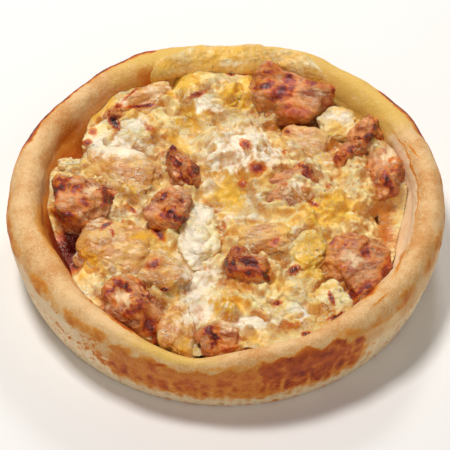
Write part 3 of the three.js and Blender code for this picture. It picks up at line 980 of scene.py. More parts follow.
BROWNED_CHEESE: Spots = {
    "slanting streak, back left": Spot(197, 95, 2.4, 0.55, 4.6, 20),
    "dark streak, back": Spot(231, 73, 2.8, 0.8, 1.5),
    "long dark streak, back": Spot(244, 72, 2.4, 1.0, 3.6),
    "faint streak, back": Spot(267, 72, 1.8, 0.6, 2.8),
    "curl": Spot(114, 122, 4, 0.95, 1.9, -65),
    "curl, back": Spot(118, 106, 2.4, 0.6, 1.8, 15),
    "crack behind the creamy sheet": Spot(142, 106, 2, 0.75, 7.5, 4),
    "crack up to the flap": Spot(131, 94, 1.6, 0.55, 7.0, 42),
    "ring, left": Spot(93, 132, 4.5, 0.42),
    "spot, left": Spot(88, 142, 2.6, 0.7, 1.6),
    "creamy sheet": Spot(150, 128, 3.5, 0.34, 2.0, -30),
    "mound, back": Spot(245, 144, 4.2, 0.62, 1.4, -35),
    "mound, middle": Spot(257, 168, 5.2, 0.68, 1.6, -15),
    "mound, front": Spot(243, 184, 4.2, 0.5),
    "right of the mound": Spot(285, 152, 2.6, 0.4),
    # painted shade at the edge of the hollow under the large meat
    "edge of the hollow": Spot(287, 132, 1.8, 0.8, 1.5, 20),
    "crack, left": Spot(106, 225, 1.8, 1.0, 3.6, 28),
    "crack, left, front": Spot(112, 232, 1.5, 0.65, 2.8, -75),
    "speck, left": Spot(133, 209, 2, 0.75, 2.0, -50),
    "red spot": Spot(159, 234, 3.2, 0.85, 2.5, -42),
    "small slice": Spot(154, 264, 5, 0.58, 1.6, 20),
    "hole by the small slice": Spot(165, 289, 1.8, 1.0, 2.2),
    "right of the middle": Spot(294, 270, 4, 0.8, 1.4, 30),
    "front spot": Spot(277, 303, 3.2, 0.62, 1.6, 15),
    "corner": Spot(332, 298, 2.6, 0.8, 2.4, -70),
    "front smudge": Spot(291, 324, 3.4, 0.32, 2.8),
    "front slit": Spot(306, 334, 1.8, 1.0, 2.4),
    "corner slit": Spot(336, 316, 1.8, 0.9, 4.5, 22),
    "middle slice": Spot(275, 242, 4.2, 0.44, 1.6, 35),
    "right sheet": Spot(314, 204, 2, 0.55, 2.6, -25),
    "beside the pool": Spot(225, 226, 2.4, 0.45),
    "before the pale piece": Spot(284, 184, 3, 0.32, 1.4),
    "right of the pale piece": Spot(329, 186, 3.2, 0.36),
}
CRUMBLY_CHEESE: Spots = {
    "white crumbs": Spot(322, 66, 5, 1.3, 2.6, -18),
    "white crumbs, right": Spot(342, 74, 4, 1.2, 1.8, -40),
    "pale streak": Spot(235, 62, 5, 0.8, 2.4, 5),
}
# golden juice, and painted shade, in the hollows of the inner wall
JUICE_AND_SHADE_ON_DOUGH: Spots = {
    "hollow, back left": Spot(152, 78, 13, 1.0, 1.6, -8),
    "hollow, back left, front": Spot(118, 90, 8, 0.6, 3.0, 28),
    "hollow, left": Spot(68, 142, 14, 1.0, 2.0, 66),
}
# browned cracks and smears, and painted shade in the gaps
STAINS_AND_SHADE_ON_DOUGH: Spots = {
    # painted shade at the foot of the left hollow
    "hollow, left, foot": Spot(64, 156, 7, 0.34, 2.0, 70),
    # painted shade in the gap beside the left meat
    "gap, left": Spot(66, 234, 18, 0.7, 1.8, -52),
    "ledge, left": Spot(76, 276, 3, 0.5, 5.5, -48),
    "ledge, dark corner": Spot(88, 288, 2.6, 0.62, 2.6, -70),
    "ledge, dark dot": Spot(92, 301, 1.6, 0.9, 1.3),
    "ledge, front left": Spot(124, 326, 1.6, 0.5, 14.0, -33),
    "rim, front left": Spot(160, 365, 2.4, 0.55, 3.6, -12),
    "crack, right": Spot(413, 150, 1.3, 0.36, 9.0, -52),
    "ledge, right": Spot(400, 262, 1.5, 0.3, 14.0, 66),
    "ledge, front right": Spot(380, 300, 1.5, 0.34, 9.0, 42),
    "shoulder, front right": Spot(352, 333, 6, 0.26, 3.2, 10),
    # painted shade in the gap under the right front meat
    "gap, front right": Spot(368, 292, 4, 0.7, 2.6, 35),
}


# ---------------------------------------------------------------------------------------------
# Dough case
# ---------------------------------------------------------------------------------------------


CREST = (
    Lobe(-3.2, -92, 55),  # the low front
    Lobe(-2.6, -100, 14),
    Lobe(0.9, 66, 12),  # the back
    Lobe(-1.1, 91, 10),
    Lobe(0.6, 112, 10),
    Lobe(-0.8, 160, 14),  # the left
)
INSIDE = (
    Lobe(3.0, -92, 60),  # the front, where the rim is thin
    Lobe(2.4, -102, 15),
    Lobe(-1.8, -148, 15),  # the left
    Lobe(1.5, 155, 15),
)
OUTSIDE = (
    Lobe(-0.9, 145, 14),  # two flats at the back
    Lobe(-0.9, 45, 12),
    Lobe(0.6, 29, 9),  # and the corners beside them
    Lobe(0.5, 118, 10),
)


@dataclass(frozen=True)
class CasePoints:
    """Where points lie in the case's plain cross-section."""

    theta: np.ndarray  # direction round the tart, in radians
    radius: np.ndarray
    height: np.ndarray
    side: np.ndarray  # 0 outside and 1 inside


@dataclass
class DoughCase:
    """The hand-pressed case: a pleated outer wall, a thick rounded rim and an inner wall."""

    finish: DoughFinish
    rim_radius: float = 59.0
    base_radius: float = 56.2
    height: float = 24.3
    shoulder: float = 18.2
    rim_width: float = 9.4
    crest_drop: float = 0.4
    front_spread: float = 1.1
    foot_edge: float = 1.3
    inner_foot_radius: float = 45.0
    inner_foot_height: float = 7.5
    floor_radius: float = 43.0
    floor_thickness: float = 5.0
    inner_wave: float = 0.3
    outer_wave: float = 0.15
    pressing_circle: float = 3.2  # circle on which the ripple of hand pressing is read
    around: int = 720  # steps round the tart
    flutes: int = 104
    flute_depth: float = 0.36
    wrinkle_depth: float = 0.16
    wrinkle_size: Triple = (3.0, 3.0, 1.1)
    dent_depth: float = 0.16

    def crest_shift(self, theta: np.ndarray) -> np.ndarray:
        """How far the crest stands above or below its full height."""
        return all_round(CREST, theta) - self.crest_drop

    def inner_shift(self, theta: np.ndarray) -> np.ndarray:
        """How far the inside of the rim moves outwards."""
        return all_round(INSIDE, theta) + self.inner_wave * np.cos(5 * theta + 1)

    def outer_shift(self, theta: np.ndarray) -> np.ndarray:
        """How far the outside of the rim moves outwards."""
        return all_round(OUTSIDE, theta) + self.outer_wave * np.cos(9 * theta)

    def pressing(self, theta: np.ndarray, side: Number) -> np.ndarray:
        """How far hand pressing moves the dough's surface, in and out round the tart."""
        x, y = self.pressing_circle * np.cos(theta), self.pressing_circle * np.sin(theta)
        return 0.55 * ripple(x, y, 1.3 + side) + 0.35 * ripple(2.7 * x, 2.7 * y, 4.6 + side)

    def dough(self, theta: np.ndarray, radius: Number, height: Number, side: Number) -> np.ndarray:
        """Where points of the plain cross-section lie in the hand-made case.

        Args:
            theta: direction round the tart, in radians.
            radius: distance from the middle in the cross-section.
            height: height in the cross-section.
            side: 0 outside and 1 inside.

        Returns:
            One row for each point.
        """
        share = height / self.height * np.minimum(1.0, radius / self.floor_radius)
        shift = lerp(self.outer_shift(theta), self.inner_shift(theta), side)
        shift = shift + self.pressing(theta, side)
        spread = Lobe(self.front_spread, -90, 42).at(theta) * (1 - share) * (1 - side)
        r = radius + shift * share + spread * np.minimum(1.0, radius / self.base_radius)
        z = height + (self.crest_shift(theta) + self.pressing(theta, 2)) * share**2
        return np.stack([r * np.cos(theta), r * np.sin(theta), z], axis=-1)

    def rim(self, angle: Number, lift: Number = 0.0) -> tuple[Number, Number, Number]:
        """The rounded rim in the plain cross-section.

        Args:
            angle: from the shoulder (0) over the crest to the inside (pi).
            lift: height above the dough.

        Returns:
            Radius, height and side.
        """
        half = self.rim_width / 2
        radius = self.rim_radius - half + (half + lift) * np.cos(angle)
        height = self.shoulder + (self.height - self.shoulder + lift) * np.sin(angle)
        return radius, height, (1 - np.cos(angle)) / 2

    def inner_wall(self, height: Number) -> Number:
        """The inner wall in the plain cross-section, from its foot up into the rim.

        Args:
            height: height of each point.

        Returns:
            The wall's radius there.
        """

        def share(low: float, high: float) -> Number:
            """How far each point has come from a low to a high level."""
            return np.clip((height - low) / (high - low), 0, 1)

        foot = share(self.floor_thickness, self.inner_foot_height)
        up = share(self.inner_foot_height, self.shoulder)
        over = share(self.shoulder, self.height)
        rise = (self.rim_radius - self.rim_width - self.inner_foot_radius) * up
        turned_in = self.rim_width / 2 * (1 - np.sqrt(1 - over**2))
        return lerp(self.floor_radius, self.inner_foot_radius, foot) + rise + turned_in

    def section(self) -> list[tuple[float, float]]:
        """The plain cross-section, from the middle of the underside round to that of the floor.

        Returns:
            Radius and height of each corner.
        """
        under, foot, wall, rim, inner, floor = 12, 4, 40, 48, 18, 6  # corners of each stretch
        edge, inset = self.foot_edge, self.base_radius - self.foot_edge
        rows = [(radius, 0.0) for radius in np.linspace(0.0, inset, under)]
        for angle in np.linspace(1 / foot, 1.0, foot) * math.pi / 2:
            rows.append((inset + edge * math.sin(angle), edge * (1 - math.cos(angle))))
        levels = [edge, 0.38 * self.shoulder, 0.72 * self.shoulder, self.shoulder]
        swell = np.array([0.0, 0.5, 0.86, 1.0])  # share of the way out at each level
        radii = lerp(self.base_radius, self.rim_radius, swell)
        up = np.linspace(edge, self.shoulder, wall)[1:]
        rows += [(np.interp(height, levels, radii), height) for height in up]
        rows += [self.rim(angle)[:2] for angle in np.linspace(0.0, math.pi, rim)[1:]]
        down = np.linspace(self.shoulder, self.floor_thickness, inner)[1:]
        rows += [(float(self.inner_wall(height)), height) for height in down]
        inwards = np.linspace(self.floor_radius, 0.0, floor)[1:]
        return rows + [(radius, self.floor_thickness) for radius in inwards]

    def spun(self) -> Surface:
        """The plain cross-section, spun into a case.

        Returns:
            The case before it is pressed by hand.
        """
        shape = bmesh.new()
        corners = [shape.verts.new((radius, 0.0, height)) for radius, height in self.section()]
        edges = [shape.edges.new(pair) for pair in zip(corners, corners[1:])]
        bmesh.ops.spin(
            shape, geom=corners + edges, cent=(0, 0, 0), axis=(0, 0, 1),
            angle=2 * math.pi, steps=self.around, use_merge=True,
        )
        bmesh.ops.remove_doubles(shape, verts=shape.verts, dist=0.002)
        bmesh.ops.recalc_face_normals(shape, faces=shape.faces)
        return Surface("crust_dough", shape)

    def lie(self, plain: np.ndarray) -> CasePoints:
        """Works out where the spun case's points lie.

        Args:
            plain: its points, one row each.

        Returns:
            Their direction, radius, height and side.
        """
        half, height = self.rim_width / 2, plain[:, 2]
        radius, centre = np.hypot(plain[:, 0], plain[:, 1]), self.rim_radius - half
        over = np.clip((1 - (radius - centre) / half) / 2, 0, 1)
        below = np.where((radius > centre) | (height < 1.0), 0.0, 1.0)
        side = np.where(height >= self.shoulder - 1e-3, over, below)
        return CasePoints(np.arctan2(plain[:, 1], plain[:, 0]), radius, height, side)

    def build(self) -> bpy.types.Object:
        """Spins the cross-section and presses it into the hand-made shape.

        Returns:
            The finished case.
        """
        surface = self.spun()
        lie = self.lie(surface.points())
        surface.place(self.dough(lie.theta, lie.radius, lie.height, lie.side))
        self.relief(surface, lie)
        DoughColours(self, surface, lie).paint(surface)
        return surface.finish(self.finish.material(), self.finish.slot, ["crust"])

    def flute(self, points: np.ndarray, theta: np.ndarray) -> np.ndarray:
        """The wavering flutes of the outer wall: 1 on their crests and -1 between them."""
        return np.cos(self.flutes * theta + 0.5 * crumb(points, 9.0, 2, 3.0))

    def relief(self, surface: Surface, lie: CasePoints) -> None:
        """Presses flutes, wrinkles and small dents into the case.

        Args:
            surface: its surface.
            lie: where its points lie.
        """
        points, height = surface.points(), lie.height
        wall = smoothstep(height, 0.6, 3.5) * smoothstep(height, 16.0, 10.5) * (1 - lie.side)
        flute = self.flute(points, lie.theta)
        flute = flute - 0.35 * np.maximum(0, flute) ** 6  # with blunt crests
        folds = self.flute_depth * flute * (0.55 + 0.6 * crumb(points, 7.0, 2, 7.0))
        wrinkles = self.wrinkle_depth * crags(points, self.wrinkle_size, 3, 2.0)
        dents = self.dent_depth * crumb(points, 4.5, 3, 5.0) + 0.05 * crumb(points, 1.3, 2, 1.0)
        raised = wall * (folds + wrinkles) + dents * smoothstep(height, 0.5, 4.0)
        surface.raise_by(np.where(height > 0.5, raised, 0.0))


class DoughColours:
    """Works out where the case is browned, pale, yellow or stained by juice, and where shade and
    light are painted on it.
    """

    start = 4.0  # height at which the outer wall's browning starts, between the flutes
    tongues = 6.0  # how much higher it starts on their crests, where streaks are strong
    stop = 18.9  # height at which it ends, below the rim
    red = Stretch(0.52, -80, -58, 3)  # browned stretches of the outer wall
    mottled = Stretch(1.0, -108, -84)
    orange = Stretch(0.33, -121, -108, 3)
    flaky = Stretch(0.3, -138, -124, 3)
    backs = (Stretch(0.4, 20, 70, 18), Stretch(0.42, 116, 165, 16))
    lower_rise = Stretch(2.5, 0, 180, 10)  # where the browning starts and ends higher
    upper_rises = (Stretch(3.0, -80, -62, 5), Stretch(1.4, -122, -84, 6))
    golden = Stretch(0.25, -117, -56, 6)
    far_edges = (Stretch(0.84, 116, 160, 12), Stretch(0.74, 22, 38, 8))
    far_corner = Lobe(0.2, 156, 7)
    seams = (Lobe(0.3, -150, 22), Lobe(0.34, 6, 26), Lobe(0.3, -75, 40))
    # painted shade at the bottoms of the gaps inside
    shaded_pits = (Lobe(0.62, -163, 20), Lobe(0.3, 150, 22))
    # painted light on the inner wall at the right
    painted_light_inside = Stretch(0.8, -62, 50, 15)
    pale_outside = Stretch(0.6, -180, -132, 12)
    yellow_back = Stretch(1.0, 34, 116, 20)
    # yellow on the front crest, with its wet sheen painted in as a highlight
    yellow_front_and_sheen = Lobe(0.8, -105, 15)
    # juice stains, and painted shade low on the inner wall at the left and back
    juices_and_shade = (Lobe(0.9, 148, 38), Lobe(0.9, -163, 26))

    def __init__(self, case: DoughCase, surface: Surface, lie: CasePoints) -> None:
        """Keeps what the colours follow.

        Args:
            case: the case.
            surface: its surface.
            lie: where its points lie.
        """
        points = surface.points()
        self.theta, self.height, self.side = lie.theta, lie.height, lie.side
        self.outer, self.inner = 1 - lie.side, smoothstep(lie.side, 0.72, 0.98)
        self.facing = VIEW.facing(points, surface.normals())
        self.rough = crumb(points, 6.0, 4, 2.0)
        self.fine = crumb(points, 2.2, 3, 8.0)
        self.streaks = crumb(points * np.array([1, 1, 0.35]), 4.0, 2, 6.0)
        self.around = self.theta + 0.12 * self.rough  # so that browned stretches end raggedly
        self.tongue = (0.5 + 0.5 * case.flute(points, self.theta)) ** 2
        self.teeth = np.cos(0.5 * case.flutes * self.theta)
        self.box = Paintbox(points)

    def patchy(self) -> np.ndarray:
        """How strongly the outer wall is browned on the way round.

        Returns:
            The strongest stretch's strength at each point.
        """
        mottling = 0.31 + 0.1 * smoothstep(self.rough + 0.5 * self.fine, -0.2, 0.6)
        return np.maximum.reduce([
            self.red.at(self.around) * (0.95 + 0.3 * self.fine),
            self.mottled.at(self.around) * mottling,
            self.orange.at(self.around) * (0.95 + 0.2 * self.rough),
            self.flaky.at(self.around) * smoothstep(np.abs(self.rough), 0.13, 0.03),
            all_round(self.backs, self.around) * (0.9 + 0.5 * self.rough),
        ])

    def wall(self) -> np.ndarray:
        """Browning of the outer wall, from ragged tongues low down to just below the rim.

        Returns:
            Its strength at each point.
        """
        height = self.height
        lower = self.start + self.tongues * self.tongue * (0.5 + 1.1 * self.streaks)
        lower = lower + 3.0 * self.rough + self.lower_rise.at(self.theta)
        upper = self.stop + all_round(self.upper_rises, self.around)
        upper = upper + 1.2 * self.rough + 0.6 * self.teeth
        band = smoothstep(height, lower, lower + 5.0) * smoothstep(height, upper + 0.8, upper)
        rise = smoothstep(height, 1.0, 9.0) * smoothstep(height, upper + 1.5, upper)
        gold = self.golden.at(self.theta) * (1 + 0.6 * self.rough) + 0.04
        foot = smoothstep(height, 2.6, 0.3) * 0.16 * (0.8 + self.rough + self.fine)
        grooves = smoothstep(height, 1.0, 4.0) * smoothstep(height, 15.0, 11.0) * self.outer
        grooves = grooves * 0.13 * (1 - self.tongue) * (0.6 + self.fine)
        return self.outer * np.maximum(band * self.patchy(), rise * gold) + foot + grooves

    def far_edge(self) -> np.ndarray:
        """Browning of the rim's outer edge, with painted shade where it turns away from the camera.

        Returns:
            Its strength at each point.
        """
        # painted shade: strongest where the rim turns away from the camera
        hidden = lerp(0.42, 1.0, smoothstep(self.facing, -0.5, 0.08))  # less where it isn't seen
        away = smoothstep(self.facing, 0.66, 0.1) * hidden
        high = smoothstep(self.height, 8.0 + 6.0 * self.rough, 19.0) * (self.side < 0.5)
        edge = all_round(self.far_edges, self.around) + self.far_corner.at(self.theta)
        edge = edge * high * away * (0.95 + 0.3 * self.fine + 0.4 * self.rough)
        turn = smoothstep(self.side, 0.3, 0.03) * smoothstep(self.height, 17.0, 19.5)
        return edge + 0.28 * turn * (0.75 + 0.8 * self.rough)

    def inside(self) -> np.ndarray:
        """Browning inside along a seam by the filling, and painted shade at the bottoms of the
        gaps.

        Returns:
            Its strength at each point.
        """
        line = np.exp(-(((self.side - 0.86 - 0.05 * self.rough) / 0.025) ** 2))
        seam = line * all_round(self.seams, self.theta)
        low = smoothstep(self.height, 18.5, 13.5)
        return np.maximum(seam, self.inner * low * all_round(self.shaded_pits, self.theta))

    def pale(self) -> np.ndarray:
        """Where the dough is pale, with painted light on the inner wall at the right.

        Returns:
            How pale each point is.
        """
        foot = smoothstep(self.height, 15.0, 9.0) * self.outer * (0.9 + 0.8 * self.fine)
        inside = self.inner * self.painted_light_inside.at(self.theta)
        outside = self.pale_outside.at(self.theta) * smoothstep(self.height, 22.0, 19.0)
        return np.maximum.reduce([foot, inside, outside * self.outer])

    def yellow(self) -> np.ndarray:
        """Where the dough is yellow, with a painted sheen on the front crest.

        Returns:
            How yellow each point is.
        """
        back = self.yellow_back.at(self.theta) * (0.95 + 0.4 * self.rough)
        back = back + self.yellow_front_and_sheen.at(self.theta)
        return back * smoothstep(self.side, 0.05, 0.3) + 0.3 * self.inner * (0.5 + self.rough)

    def juice_and_shade(self) -> np.ndarray:
        """Where juice has soaked in, with painted shade in the hollows of the inner wall.

        Returns:
            How strongly it colours each point.
        """
        stain_and_shade = smoothstep(self.height, 21.5, 14.0) * all_round(self.juices_and_shade, self.theta)
        inside = self.inner * (stain_and_shade + 0.06 * self.rough)
        return np.maximum(inside, self.box.share(JUICE_AND_SHADE_ON_DOUGH, 0.4))

    def paint(self, surface: Surface) -> None:
        """Paints all four layers.

        Args:
            surface: the case's surface.
        """
        # browned stains, and painted shade in the gaps
        stains_and_shade = self.box.share(STAINS_AND_SHADE_ON_DOUGH, 0.4)
        brown = np.maximum.reduce([self.wall(), self.far_edge(), self.inside(), stains_and_shade])
        surface.paint(Layer.BROWN, brown + 0.05 * self.fine)
        surface.paint(Layer.CREAM, self.pale())
        surface.paint(Layer.YELLOW, self.yellow())
        surface.paint(Layer.GOLD, self.juice_and_shade())


# ---------------------------------------------------------------------------------------------
# Pieces baked into the filling
# ---------------------------------------------------------------------------------------------


@dataclass(frozen=True)
class Kind:
    """What a family of lumps has in common."""

    finish: BakedFinish
    cuts: int  # slanting planes that take off its corners
    sharpness: float  # of its edges
    roughness: float  # share by which its hills stand up
    crag: float  # height of torn ridges
    crag_size: float
    fibre: float  # height of fibres along the piece
    skirt: float  # how high the filling climbs its sides
    glaze_and_shade: float  # golden juice, and painted shade, on its lower and steep sides
    bend: float = 0.0
    roast: float = 0.0  # browning of its ridges
    bloom: float = 0.5  # creaminess of its ridges


@dataclass(frozen=True)
class Peak:
    """A raised tip of a piece, seen from above."""

    x: float
    y: float
    rise: float
    width: float

    def height(self, points: np.ndarray) -> np.ndarray:
        """How much it raises each point."""
        squared = (points[:, 0] - self.x) ** 2 + (points[:, 1] - self.y) ** 2
        return self.rise * np.exp(-squared / self.width**2)


@dataclass(frozen=True)
class Lump:
    """One piece: a box in which slanting planes have taken off the corners."""

    name: str
    kind: Kind
    at: Triple
    size: Triple
    yaw: float
    tilt: tuple[float, float] = (0.0, 0.0)
    # browned spots, and spots of painted shade on lower faces and feet
    browned_and_shaded: Spots = field(default_factory=dict)
    sharpness: float | None = None
    bend: float | None = None
    roast: float | None = None
    torn: float = 1.0  # share of its kind's crags
    peaks: tuple[Peak, ...] = ()

    bedded = 0.28  # its underside lies this share of its height below its middle
    cut_heights = (-0.25, 0.85)  # lowest and highest direction of its slanting planes
    cut_distances = (0.78, 1.02)  # nearest and farthest plane
    cut_scatter = 0.8  # how far a plane strays towards the next one
    hills = 2.1  # how closely its uneven hills lie
    small_hills = 4.7
    fibre_size = (8.0, 1.3, 1.5)  # fibres run along the piece
    swell_size = 5.0
    grain_size = 1.1

    def own(self, name: str) -> float:
        """A value of its own, or else its kind's."""
        value = getattr(self, name)
        return getattr(self.kind, name) if value is None else value

    def turn(self) -> np.ndarray:
        """The piece's turn, as a matrix.

        Returns:
            Three rows of three.
        """
        turn = Matrix.Rotation(math.radians(self.yaw), 3, "Z")
        turn = turn @ Matrix.Rotation(math.radians(self.tilt[0]), 3, "X")
        return np.array(turn @ Matrix.Rotation(math.radians(self.tilt[1]), 3, "Y"))

    def reach(self, directions: np.ndarray, seed: int) -> np.ndarray:
        """How far the lump reaches in a box 2 on each side.

        Args:
            directions: unit directions, one row each.
            seed: the piece's own number.

        Returns:
            The distance from its middle in each direction.
        """
        sharpness, cuts = self.own("sharpness"), self.kind.cuts
        total = (np.abs(directions) ** sharpness).sum(1)
        for i in range(cuts):
            rise, turn, far = (fraction(seed, 3 * i + draw) for draw in range(3))
            height = lerp(*self.cut_heights, rise)
            angle = 2 * math.pi * (i + self.cut_scatter * turn) / cuts
            flat = math.sqrt(1 - height**2)
            normal = np.array([flat * math.cos(angle), flat * math.sin(angle), height])
            distance = lerp(*self.cut_distances, far)
            total += np.maximum(0.0, directions @ normal / distance) ** sharpness
        x, y, z = directions.T * self.hills
        craggy = ripple(x + seed, y, z + 0.5)
        x, y, z = directions.T * self.small_hills
        craggy = craggy + 0.45 * ripple(x, y + seed, z + 0.5)
        return total ** (-1 / sharpness) * (1 + self.kind.roughness * craggy)

    def outside(self, points: np.ndarray, seed: int) -> np.ndarray:
        """How far points lie outside the lump's outline, seen from above.

        Args:
            points: places, one row each.
            seed: the piece's own number.

        Returns:
            The distances, negative inside the outline.
        """
        local = np.stack(turned(points[:, 0] - self.at[0], points[:, 1] - self.at[1], self.yaw), -1)
        scaled = local / (np.array(self.size[:2]) / 2)
        length = np.maximum(1e-6, np.hypot(*scaled.T))
        directions = np.concatenate([scaled / length[:, None], np.zeros((len(points), 1))], 1)
        return np.hypot(*local.T) * (1 - self.reach(directions, seed) / length)

    def build(self, seed: int, material: bpy.types.Material) -> bpy.types.Object:
        """Shapes, roughens and paints the piece.

        Args:
            seed: the piece's own number.
            material: its finish.

        Returns:
            The finished piece.
        """
        shape = bmesh.new()
        bmesh.ops.create_icosphere(shape, subdivisions=6, radius=1.0)
        surface = Surface(self.name + "_piece", shape)
        directions = surface.points()
        directions /= np.linalg.norm(directions, axis=1)[:, None]
        point = directions * self.reach(directions, seed)[:, None]
        droop = self.own("bend") * (1 - point[:, 0] ** 2 - 0.5 * point[:, 1] ** 2)
        point = point * (np.array(self.size) / 2)
        point[:, 2] += droop
        placed = point @ self.turn().T + np.array(self.at)
        placed[:, 2] += self.tips(placed)
        surface.place(placed)
        self.colour(surface, self.relief(surface, point, seed), seed)
        placed = surface.points()
        placed[:, 2] = np.maximum(placed[:, 2], self.at[2] - self.bedded * self.size[2])
        surface.place(placed)
        return surface.finish(material, self.kind.finish.slot, [self.name])

    def tips(self, placed: np.ndarray) -> np.ndarray:
        """Height that the piece's peaks add to its upper side."""
        total = sum((peak.height(placed) for peak in self.peaks), np.zeros(len(placed)))
        return total * smoothstep(placed[:, 2] - self.at[2], 0.0, self.size[2] / 2)

    def relief(self, surface: Surface, local: np.ndarray, seed: int) -> np.ndarray:
        """Tears the surface into flakes and fibres.

        Args:
            surface: its surface.
            local: its points before they were turned and placed.
            seed: the piece's own number.

        Returns:
            Where it stands proud.
        """
        kind = self.kind
        flake_size = (kind.crag_size * 1.5, kind.crag_size, kind.crag_size)
        height, margin = flakes(local, flake_size, seed * 3.7)
        swell = crumb(local, self.swell_size, 3, seed * 1.9)
        fibres = crumb(local, self.fibre_size, 3, seed * 2.3)
        grain = crumb(local, self.grain_size, 3, seed * 5.1)
        torn = height * smoothstep(margin, 0.0, 0.22) - 0.25 * smoothstep(margin, 0.12, 0.0)
        crags_high = self.torn * kind.crag * (torn + 0.5 * swell)
        surface.raise_by(crags_high + kind.fibre * (fibres + 0.6 * grain))
        return torn + 0.6 * swell

    def colour(self, surface: Surface, proud: np.ndarray, seed: int) -> None:
        """Paints the piece's browned spots, juice with painted shade low and on steep sides, and
        painted shade in its hollows, over the colours that the whole top shares.

        Args:
            surface: its surface.
            proud: where it stands proud.
            seed: the piece's own number.
        """
        points, up = surface.points(), surface.normals()[:, 2]
        box = Paintbox(points)
        crust = crumb(points, 1.5, 3, seed)
        spots = np.minimum(0.9, 1.5 * box.share(self.browned_and_shaded, 1.7))
        spots = spots * (0.9 + 0.35 * proud + 0.4 * crust)
        tips = smoothstep(self.tips(points) + 0.8 * crust, 0.8, 2.6) * (0.66 + 0.3 * crust)
        ridge = smoothstep(proud + 0.4 * crust, 0.1, 0.6) * smoothstep(up, -0.1, 0.5)
        low = smoothstep(points[:, 2], self.at[2] + 3.5, self.at[2] - 1.5)
        steep = smoothstep(up, 0.8, 0.15)
        # golden juice and painted shade on its low and steep sides
        glaze_and_shade = self.kind.glaze_and_shade * np.maximum(low, steep) * (0.8 + crust)
        cling = low * smoothstep(crumb(points, 5.0, 2, 2.5), 0.0, 0.4)
        bloom = self.kind.bloom * smoothstep(proud, 0.15, 0.7)
        layers = {
            Layer.BROWN: np.maximum.reduce([spots, tips, self.own("roast") * ridge]),
            # the gold also takes painted shade in the hollows of its relief
            Layer.GOLD: glaze_and_shade + 0.3 * smoothstep(-proud, 0.1, 0.6),
            Layer.YELLOW: 0.0,
            Layer.CREAM: np.maximum(cling, bloom),
        }
        box.paint_top(surface, layers, 0.8, 1 - 0.7 * steep)


MEAT_FINISH = BakedFinish(
    "roast_meat", Slot.MEAT, light=srgb(229, 150, 80), deep=srgb(180, 84, 30),
    yellow=srgb(232, 152, 40), gold=srgb(188, 86, 18), cream=srgb(248, 212, 164),
    clouds=5.0, stretch=(0.6, 1.6, 1.4), roughness=0.26, soft=0.2, depth=1.2, sparkle=0.35,
)
ONION_FINISH = BakedFinish(
    "cooked_onion", Slot.ONION, light=srgb(236, 186, 98), deep=srgb(206, 130, 36),
    yellow=srgb(246, 184, 44), gold=srgb(204, 130, 30), clouds=5.0, stretch=(0.7, 1.5, 1.0),
    roughness=0.2, relief=0.2, soft=0.4, depth=2.4, sparkle=0.7,
)
CHEESE_FINISH = BakedFinish(
    "melted_cheese", Slot.CHEESE, light=srgb(255, 234, 172), deep=srgb(248, 200, 94),
    yellow=srgb(254, 196, 52), gold=srgb(220, 142, 28), cream=srgb(255, 238, 212),
    stretch=(0.7, 1.5, 1.0), turn=60.0, roughness=0.22, soft=0.35, depth=2.2,
)
FILLING_FINISH = BakedFinish(
    "set_cream", Slot.FILLING, light=srgb(255, 231, 164), deep=srgb(246, 194, 84),
    yellow=srgb(254, 196, 52), gold=srgb(216, 134, 24), cream=srgb(255, 238, 212),
    stretch=(0.7, 1.4, 1.0), turn=-25.0, roughness=0.22, soft=0.35, depth=2.2,
)
RUN_OVER_FINISH = BakedFinish(
    "baked_on_cheese", Slot.CHEESE, light=srgb(248, 210, 126), deep=srgb(240, 186, 80),
    yellow=srgb(250, 192, 62), gold=srgb(222, 160, 62), cream=srgb(254, 230, 180),
    roughness=0.34, soft=0.2, depth=1.5, sparkle=0.5,
)

CHUNK = Kind(
    MEAT_FINISH, cuts=7, sharpness=14, roughness=0.13, crag=0.6, crag_size=5.0, fibre=0.3,
    skirt=2.6, roast=0.3, glaze_and_shade=0.6, bloom=0.34,
)
SLICE = Kind(
    ONION_FINISH, cuts=4, sharpness=7, roughness=0.11, bend=1.0, crag=0.55, crag_size=7.0,
    fibre=0.2, skirt=1.9, glaze_and_shade=0.45,
)
CHEESE = Kind(
    CHEESE_FINISH, cuts=4, sharpness=5, roughness=0.15, crag=0.85, crag_size=5.0, fibre=0.26,
    skirt=2.6, glaze_and_shade=0.25,
)

